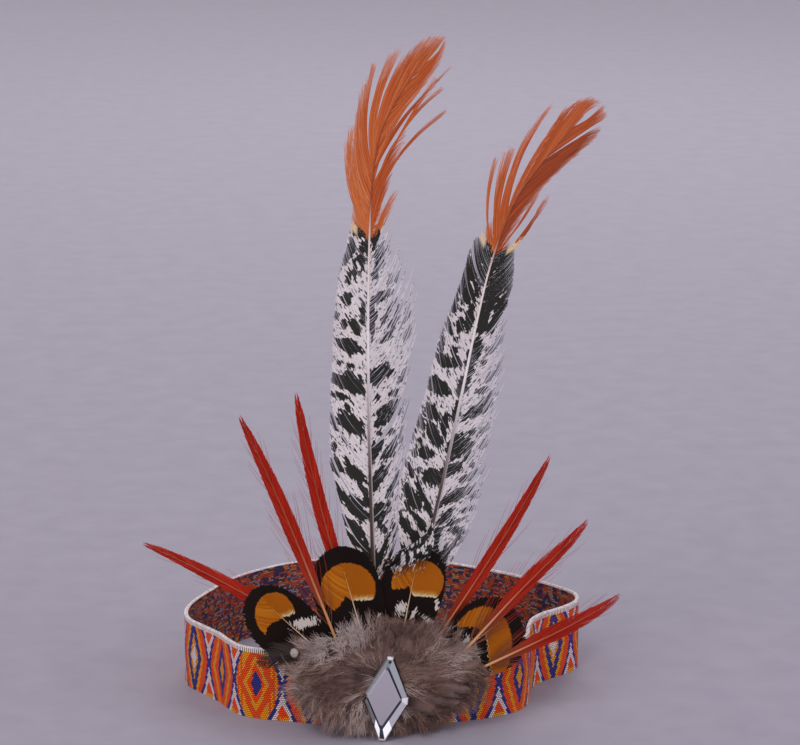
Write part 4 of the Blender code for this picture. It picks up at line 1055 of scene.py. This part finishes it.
EYED_EDGE = (
    (0.20, 0.12), (0.34, 0.32), (0.46, 0.42), (0.58, 0.48), (0.70, 0.50), (0.80, 0.475),
    (0.88, 0.41), (0.94, 0.31), (0.98, 0.18), (1.0, 0.0),
)
EYED_BACK = 5.25 * MM
EYED_FRONT = 6.55 * MM
# For each: root, turns of the quill, length and width at the left and right in mm, layer,
# disc (x, z and both radii in mm), top of the black patch, and white marks (x, z, both
# radii and turn)
EYED = (
    ((-0.156, -0.332), ((0.0, 143), (0.5, 139), (1.0, 134)), 58, (27, 21), EYED_BACK,
     (-50.3, 45.7, 7.5, 9.2), ((-58, 30), (-54.6, 35.5), (-53.2, 42.0), (-48, 45.0), (-43.2, 47.2),
                               (-41, 49)),
     ((-39.3, 43.1, 6.6, 2.3, 20),)),
    ((-0.086, -0.293), ((0.0, 106), (1.0, 105)), 58, (27, 24), EYED_FRONT,
     (-23.3, 57.4, 10.4, 10.2), ((-33, 47), (-29, 49), (-26, 51.5), (-24.2, 55.6), (-22, 53), (-14, 53.4),
                                 (-12, 52)),
     ((-9.4, 41.0, 3.6, 1.7, -8), (-11.9, 47.0, 0.9, 1.1, 0), (-10.6, 62.5, 1.2, 2.2, 0))),
    ((0.086, -0.244), ((0.0, 84), (0.5, 80), (1.0, 76)), 55, (23, 26), EYED_BACK,
     (3.2, 58.6, 10.2, 9.2), ((-7, 57), (-1.2, 57.2), (-0.4, 59.6), (0.8, 54.2), (4, 53.8), (9.6, 53.0),
                              (13, 51)),
     ((-3.2, 48.8, 2.4, 3.0, -20), (1.6, 46.4, 1.0, 3.1, -22), (7.6, 43.2, 4.4, 1.3, -44),
      (10.6, 49.5, 1.1, 3.4, 6))),
    ((0.358, -0.171), ((0.0, 36), (1.0, 34)), 43, (27, 36), EYED_FRONT,
     (28.0, 31.0, 12.4, 17.0), ((19, 41), (25.8, 40.4), (30, 36.5), (30.8, 31), (31.2, 20), (33, 15)),
     ((23.0, 33.5, 2.6, 3.6, 35), (26.5, 26.5, 1.2, 3.4, 10))),
)
for number, (root, turns, length, widths, layer, disc, top, whites) in enumerate(EYED, start=1):
    rng = np.random.default_rng(50 + number)
    shaft = Shaft(root_point(root), turns, length * MM, layer, 0.0)
    groups = [vane_barbs(shaft, EYED_EDGE, side, 330, rng, slope=1.5, roots=(0.12, 0.90),
                         rough=0.02, pull=0.06, clump=5 * MM, thick=2.4, width=wide * MM)
              for side, wide in zip((1, -1), widths)]
    start, middle, end, girth = joined(groups)
    mesh = strands(f"eyed_feather_{number}_barbs", start, middle, end, girth, eyed_barbs,
                   {"tint": rng.random(len(start))}, segments=12, tip=1.0, frizz=0.2 * MM,
                   seed=number)
    flat = flat_points(mesh)
    run, out = shaft.spot(flat)
    x, z = flat.T / MM
    ring = np.hypot((x - disc[0]) / disc[2], (z - disc[1]) / disc[3])
    under = z - np.interp(x, [t[0] for t in top], [t[1] for t in top])
    white = np.full(len(x), -3.0)
    for oval in whites:
        white = np.maximum(white, 1 - oval_reach(x, z, *oval))
    store(mesh, "eye", np.stack([1 - ring, under, white], 1))
    store(mesh, "pale", np.clip(-out / MM, 0, 1))
    store(mesh, "spot", np.stack([run - 1.2 * np.abs(out), out * 0.5, 0 * out + number * 9 * MM], 1) / MM)
    add_piece(f"eyed_feather_{number}_barbs", mesh, [f"eyed_feather_{number}"])
    stem = quill(shaft, 1.0 * MM, peach_horn, last=0.82, deep=0.25 * MM)
    add_piece(f"eyed_feather_{number}_quill", stem)


# Dark side feather: a small stiff brown feather with a pale spot, tucked under
# the left end of the down.

# Stiff barbs: matt and nearly black, with one pale spot
brown_barbs, tree, surface = new_material("dark brown feather barbs", Roughness=0.55)
tint = add(tree, "ShaderNodeAttribute", attribute_name="tint")
mark = add(tree, "ShaderNodeAttribute", attribute_name="mark")
brown = add(tree, "ShaderNodeValToRGB", {0: tint.outputs["Fac"]},
            stops=((0.0, "1C1210"), (1.0, "3A2620")))
pale = add(tree, "ShaderNodeMapRange", {"Value": mark.outputs["Fac"], "From Min": 0.0,
                                        "From Max": 0.3})
tone = add(tree, "ShaderNodeMix", {0: pale, 6: brown.outputs[0], 7: linear("CFC4BC")},
           data_type="RGBA")
tree.links.new(tone.outputs[2], surface.inputs["Base Color"])
# Middle and radii of the spot in mm
PALE_SPOT = (-43.8, 32.6, 1.7, 2.2, 0)
DARK_EDGE = ((0.20, 0.12), (0.45, 0.46), (0.65, 0.50), (0.85, 0.34), (1.0, 0.06))
rng = np.random.default_rng(70)
shaft = Shaft(root_point((-0.704, 0.42)), ((0.0, 178), (1.0, 214)), 22 * MM, 10 * MM, 0.0)
groups = [vane_barbs(shaft, DARK_EDGE, side, 110, rng, slope=1.8, rough=0.08, pull=0.3,
                     clump=3 * MM, thick=1.2, width=9 * MM) for side in (1, -1)]
start, middle, end, girth = joined(groups)
mesh = strands("dark_side_feather_barbs", start, middle, end, girth, brown_barbs,
               {"tint": rng.random(len(start))}, segments=6, frizz=0.4 * MM, seed=3)
x, z = flat_points(mesh).T / MM
store(mesh, "mark", 1 - oval_reach(x, z, *PALE_SPOT))
add_piece("dark_side_feather_barbs", mesh, ["dark_side_feather"])


# Down: a pad of loose brown-grey down glued over the roots. Small plumes grow from
# the pad's own face, outwards from the middle, and each has a fan of fine fibres.

# Matted underside of the down: its brown, darkened as painted shade between the plumes
down_base_painted_shade, tree, surface = new_material("packed grey down", Roughness=0.9, Sheen_Weight=0.4)
place = add(tree, "ShaderNodeTexCoord")
patch = add(tree, "ShaderNodeTexNoise", {"Vector": place.outputs["Object"], "Scale": 160.0,
                                         "Detail": 3.0})
tone = add(tree, "ShaderNodeValToRGB", {0: patch.outputs[0]}, stops=((0.35, "402B26"), (0.6, "735850")))
tree.links.new(tone.outputs[0], surface.inputs["Base Color"])
# Fine fibres: soft and matt, brown at the root and pale grey at the end
down_hair, tree, surface = new_material("grey down fibres", Roughness=0.85, Sheen_Weight=0.3)
tint = add(tree, "ShaderNodeAttribute", attribute_name="tint")
tone = add(tree, "ShaderNodeValToRGB", {0: tint.outputs["Fac"]},
           stops=((0.0, "46302A"), (0.35, "77574D"), (0.62, "9A7F76"), (1.0, "D2C5C1")))
tree.links.new(tone.outputs[0], surface.inputs["Base Color"])

RIM_SHARE = 0.86
# Corner that is set back: where it begins, how fast, and how far in front of the band
CORNER = (16 * MM, 27 * MM)
CORNER_FADE = 5 * MM
CORNER_LAYER = 5.4 * MM
pad = bpy.data.meshes.new_from_object(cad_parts["down_mound"])
bm = bmesh.new()
bm.from_mesh(pad)
bmesh.ops.remove_doubles(bm, verts=bm.verts, dist=0.00001)
bmesh.ops.triangulate(bm, faces=bm.faces)
for vert in bm.verts:
    # The tufts of the rim are drawn in, since the fibres stand for them
    x, z = vert.co.x - DOWN_CENTRE[0], vert.co.z - DOWN_CENTRE[1]
    far = math.hypot(x / DOWN_HALF[0], z / DOWN_HALF[1])
    drawn = (RIM_SHARE + (far - RIM_SHARE) * 0.2) / far if far > RIM_SHARE else 1.0
    vert.co.x, vert.co.z = DOWN_CENTRE[0] + x * drawn, DOWN_CENTRE[1] + z * drawn
    # The right upper corner lies behind the last eyed feather
    right = min(max((vert.co.x - CORNER[0]) / CORNER_FADE, 0), 1)
    high = min(max((vert.co.z - CORNER[1]) / CORNER_FADE, 0), 1)
    limit = float(fan_point(vert.co.x, vert.co.z, CORNER_LAYER, 0.0)[1])
    vert.co.y += max(0.0, limit - vert.co.y) * (right * high)
bm.normal_update()
faces = [(f.calc_area(), [np.array(v.co) for v in f.verts], np.array(f.normal)) for f in bm.faces]
for face in bm.faces:
    face.smooth = True
bm.to_mesh(pad)
bm.free()
pad.materials.clear()
pad.materials.append(down_base_painted_shade)
pad.name = "down_pad"
add_piece("down_pad", pad, ["down_mound"])

# How many plumes, and how many fibres in each
PLUMES = 960
FIBRES = 19
# Paler and darker parts: middle, both radii in mm and how much
DOWN_TONES = ((-26, 37, 14, 8, 0.35), (-1, 35, 9, 6, 0.05), (-34, 17, 12, 6, -0.06),
              (15, 19, 13, 9, 0.14), (-20, 14, 8, 6, 0.25), (-44, 24, 6, 7, 0.25),
              (20, 30, 6, 5, 0.3))
# Bare places, where the feathers behind show: middle and both radii in mm
DOWN_BARE = ((-49, 33.5, 7, 4), (27, 39, 7, 6), (31, 29, 3, 6), (-1, 54, 15, 7))
# The stone's middle, the half sizes that the fibres leave free round it, and the layers
# behind it and behind all fibres
STONE_AT = (-10.2, 16.7)
STONE_ROOM = (8.6, 17.6)
STONE_BACK = 13.6 * MM
FIBRES_BACK = 3 * MM
rng = np.random.default_rng(90)
rim = np.array([max(np.hypot((p[0] - DOWN_CENTRE[0]) / DOWN_HALF[0],
                             (p[2] - DOWN_CENTRE[1]) / DOWN_HALF[1])
                    for p in corners) for _, corners, _ in faces])
# Few plumes grow on the back of the pad, and more on its rim, which gives the outline
weights = np.array([area * (1.0 if normal[1] < 0.3 else 0.10) for area, _, normal in faces])
weights *= np.where(rim > 0.82, 3.0, 1.0)
picks = rng.choice(len(faces), PLUMES, p=weights / weights.sum())
mix = rng.dirichlet((1, 1, 1), PLUMES)
foot = np.array([mix[i] @ np.array(faces[k][1]) for i, k in enumerate(picks)])
normal = np.array([faces[k][2] for k in picks])
radial = foot - np.array((DOWN_CENTRE[0], 0, DOWN_CENTRE[1]))
radial[:, 1] = 0
far = np.hypot(radial[:, 0] / DOWN_HALF[0], radial[:, 2] / DOWN_HALF[1])
radial /= np.linalg.norm(radial, axis=1)[:, None]
# Plumes that are near each other lean alike. Without a seed of its own, the noise would
# take the clock's
noise.seed_set(3)
swirl = np.array([noise.noise_vector(Vector(p * 60)) for p in foot])
axis = radial * 1.0 + normal * 0.22 + swirl * 1.3 + rng.normal(0, 0.15, (PLUMES, 3))
axis /= np.linalg.norm(axis, axis=1)[:, None]
long = rng.uniform(6.0, 12.0, PLUMES) * np.interp(far, (0.0, 0.7, 0.88), (1.0, 0.9, 0.75)) * MM
curl = rng.normal(0, 0.22, (PLUMES, 3)) * long[:, None]
which = np.repeat(np.arange(PLUMES), FIBRES)
count = len(which)
climb = rng.uniform(0.0, 0.6, count)
start = foot[which] + axis[which] * (long[which] * climb)[:, None] + curl[which] * (climb ** 2)[:, None]
start += rng.normal(0, 0.35 * MM, (count, 3))
aim = axis[which] + rng.normal(0, 0.3, (count, 3))
aim /= np.linalg.norm(aim, axis=1)[:, None]
reach = long[which] * (0.8 - 0.5 * climb) * rng.uniform(0.6, 1.2, count)
end = start + aim * reach[:, None] + curl[which] * 0.6 * (0.4 + climb)[:, None]
middle = (start + end) / 2 + rng.normal(0, 0.06, (count, 3)) * reach[:, None]
for points in (start, middle, end):
    # None lies over the stone, below the floor or close to the band
    under = (np.abs(points[:, 0] / MM - STONE_AT[0]) / STONE_ROOM[0]
             + np.abs(points[:, 2] / MM - STONE_AT[1]) / STONE_ROOM[1]) < 1
    limit = fan_point(points[:, 0], 0 * points[:, 2], STONE_BACK, 0)[:, 1]
    points[:, 1] = np.where(under, np.maximum(points[:, 1], limit), points[:, 1])
    points[:, 2] = np.maximum(points[:, 2], 0.6 * MM)
    limit = fan_point(points[:, 0], 0 * points[:, 2], FIBRES_BACK, 0)[:, 1]
    points[:, 1] = np.minimum(points[:, 1], limit)
shade = 0.36 + 0.70 * swirl[which, 0] + 0.4 * (climb - 0.3) + rng.normal(0, 0.14, count)
for patch_x, patch_z, wide, tall, more in DOWN_TONES:
    near = np.hypot((start[:, 0] / MM - patch_x) / wide, (start[:, 2] / MM - patch_z) / tall)
    shade += more * np.clip(1.3 - near, 0, 1)
# A few fibres still cross the bare places
kept = np.ones(count, bool)
for bare_x, bare_z, wide, tall in DOWN_BARE:
    for points in (start, middle, end):
        near = np.hypot((points[:, 0] / MM - bare_x) / wide, (points[:, 2] / MM - bare_z) / tall)
        kept &= (near > 1) | (rng.random(count) < 0.06)
start, middle, end, shade = start[kept], middle[kept], end[kept], shade[kept]
mesh = strands("down_strands", start, middle, end, 0.12 * MM, down_hair,
               {"tint": np.clip(shade, 0, 1)}, segments=5, tip=0.2, frizz=0.7 * MM,
               frizz_size=3 * MM, seed=5, facing=(0.14, -0.97, 0.2))
# The frizz is kept off the surface that the band stands on
lift = np.empty(len(mesh.vertices) * 3, np.float32)
mesh.vertices.foreach_get("co", lift)
lift[2::3] = np.maximum(lift[2::3], 0.2 * MM)
mesh.vertices.foreach_set("co", lift)
add_piece("down_strands", mesh)


# Cut stone: a sew-on glass rhombus with a mirror back. A big flat table in a wide
# row of bevels, a narrow row at the girdle, and a hole for thread near each tip.

# Width, height and thickness, and the layer of its back
STONE = (16.8 * MM, 33 * MM, 4.6 * MM)
STONE_DEEP = 14.55 * MM
# Radius, depth and distance from the tip
STONE_HOLE = 0.6 * MM
HOLE_DEPTH = 0.5 * MM
HOLE_INSET = 2.0 * MM
# Painted reflection of each facet, from dark to bright, for what it mirrors: rows of ten from the
# back, each from the upper right side clockwise, with the lower sides in two parts
STONE_PAINTED_REFLECTION = (
    0.3, 0.3, 0.3, 0.3, 0.3, 0.3, 0.3, 0.3, 0.3, 0.3,
    0.2, 0.6, 0.3, 0.4, 1.0, 0.4, 0.3, 0.4, 0.15, 0.9,
    0.15, 0.8, 0.3, 1.0, 0.9, 0.95, 0.35, 0.4, 0.12, 0.9,
    0.62, 1.0, 0.76, 1.0, 0.2, 1.0, 0.22, 0.6, 0.3, 0.45,
    0.05, 0.6, 0.15, 0.2, 0.15, 0.15, 0.08, 0.7, 0.5, 0.2,
)
# Painted glints, facets that glow as if they threw a lamp's light back at the eye: row and place above, and
# how strongly
STONE_PAINTED_GLINTS = (
    (1, 3, 0.5), (1, 4, 0.3), (1, 5, 0.4), (2, 1, 0.45), (2, 3, 0.35), (2, 4, 0.2), (2, 8, 0.12),
    (2, 9, 0.3), (3, 1, 0.35), (3, 2, 0.22), (3, 3, 0.75), (3, 5, 0.75), (3, 6, 0.10), (3, 8, 0.22),
    (4, 8, 0.16),
)
# Rings from the back to the table: shares of the width, height and thickness, how much
# is cut off the tips and the sides, and how far the ring is moved up and to the left
STONE_RINGS = (
    (0.92, 0.98, 0.0, 0.13, 0.09, 0.0), (1.075, 1.133, 0.22, 0.128, 0.08, 0.0),
    (1.075, 1.133, 0.38, 0.128, 0.08, 0.0), (1.02, 1.06, 0.60, 0.12, 0.08, 0.0),
    (0.83, 0.79, 0.95, 0.08, 0.05, 0.7 * MM), (0.745, 0.69, 1.0, 0.06, 0.03, 0.9 * MM),
)
RING_CORNERS = 10


def stone_ring(across, tall, deep, tip, side, shift):
    """Ten corners of a rhombus with its tips and sides cut, as shares of its size."""
    wide, high, thick = STONE[0] / 2 * across, STONE[1] / 2 * tall, STONE[2] * deep
    top, flank = (wide * tip, high * (1 - tip)), (wide * (1 - side), high * side)
    # The lower sides have a corner more, a third of the way up from the tip
    low = (top[0] * 0.68 + flank[0] * 0.32, top[1] * 0.68 + flank[1] * 0.32)
    corners = [(1, top), (1, flank), (-1, flank), (-1, low), (-1, top)]
    ring = [(x, up * z) for up, (x, z) in corners]
    ring += [(-x, up * z) for up, (x, z) in reversed(corners)]
    return [(x - shift, -thick, z + shift) for x, z in ring]


bm = bmesh.new()
rings = [[bm.verts.new(p) for p in stone_ring(*row)] for row in STONE_RINGS]
for low, high in zip(rings, rings[1:]):
    for k in range(RING_CORNERS):
        j = (k + 1) % RING_CORNERS
        bm.faces.new((low[k], low[j], high[j], high[k]))
bm.faces.new(rings[0])
bm.faces.new(rings[-1])
bmesh.ops.recalc_face_normals(bm, faces=bm.faces)
painted_reflection = bm.faces.layers.float.new("painted_reflection")
painted_glint = bm.faces.layers.float.new("painted_glint")
for face, value in zip(bm.faces, STONE_PAINTED_REFLECTION):
    face[painted_reflection] = value
bm.faces.ensure_lookup_table()
for row, place, value in STONE_PAINTED_GLINTS:
    bm.faces[row * RING_CORNERS + place][painted_glint] = value
# The flat faces, in front and behind, get the second finish
for face in bm.faces:
    face.material_index = 0 if abs(face.normal.y) < 0.999 else 1
# Thread holes: round wells that stand on the bevel near each tip, nearly black with painted shade
for up in (1, -1):
    hole = bmesh.ops.create_cone(bm, cap_ends=True, segments=16, radius1=STONE_HOLE,
                                 radius2=STONE_HOLE, depth=HOLE_DEPTH)["verts"]
    bmesh.ops.rotate(bm, verts=hole, cent=(0, 0, 0), matrix=Matrix.Rotation(math.pi / 2, 3, "X"))
    bmesh.ops.translate(bm, verts=hole, vec=(0, -STONE[2] * (0.72 if up > 0 else 0.70),
                                             up * (STONE[1] / 2 - HOLE_INSET)))
    for face in {f for v in hole for f in v.link_faces}:
        face.material_index = 2
# It lies a little askew: it faces slightly left, tips back and leans right
turn = (Matrix.Rotation(math.radians(-7.0), 4, "Z") @ Matrix.Rotation(math.radians(-5.0), 4, "X")
        @ Matrix.Rotation(math.radians(6.0), 4, "Y"))
middle = fan_point(STONE_AT[0] * MM, 0.0, STONE_DEEP, 0.0)
bm.transform(Matrix.Translation((middle[0], middle[1], STONE_AT[1] * MM)) @ turn)
stone = bpy.data.meshes.new("cut_stone")
bm.to_mesh(stone)
bm.free()

# Foiled glass reads as bright metal. Each facet gets a painted reflection, its own brightness for the
# part of the room it mirrors, and some get a painted glint, a faint glow that stands for a lamp's light
glass, tree, surface = new_material("mirror-backed cut glass", Metallic=1.0, Roughness=0.05,
                                    Emission_Strength=1.0)
pick = add(tree, "ShaderNodeAttribute", attribute_name="painted_reflection")
tone = add(tree, "ShaderNodeValToRGB", {0: pick.outputs["Fac"]},
           stops=((0.0, "1C1F2A"), (0.5, "A4A9BA"), (1.0, "FFFFFF")))
tree.links.new(tone.outputs[0], surface.inputs["Base Color"])
# Painted glints: an emission colour on the chosen facets
pick = add(tree, "ShaderNodeAttribute", attribute_name="painted_glint")
painted_glint_colour = add(tree, "ShaderNodeValToRGB", {0: pick.outputs["Fac"]},
            stops=((0.0, "000000"), (1.0, "F6F3FF")))
tree.links.new(painted_glint_colour.outputs[0], surface.inputs["Emission Color"])
# Table: the same glass, seen straight through to the foil
table_glass, tree, surface = new_material("foil under a flat table", Metallic=1.0, Roughness=0.12)
surface.inputs["Base Color"].default_value = linear("F4F3F6")
# Inside of a drilled hole: matt, and nearly black with painted shade
hole_painted_shade, tree, surface = new_material("dark drilled hole", Roughness=0.6)
surface.inputs["Base Color"].default_value = linear("2C2426")
for finish in (glass, table_glass, hole_painted_shade):
    stone.materials.append(finish)
add_piece("cut_stone", stone, ["crystal"])
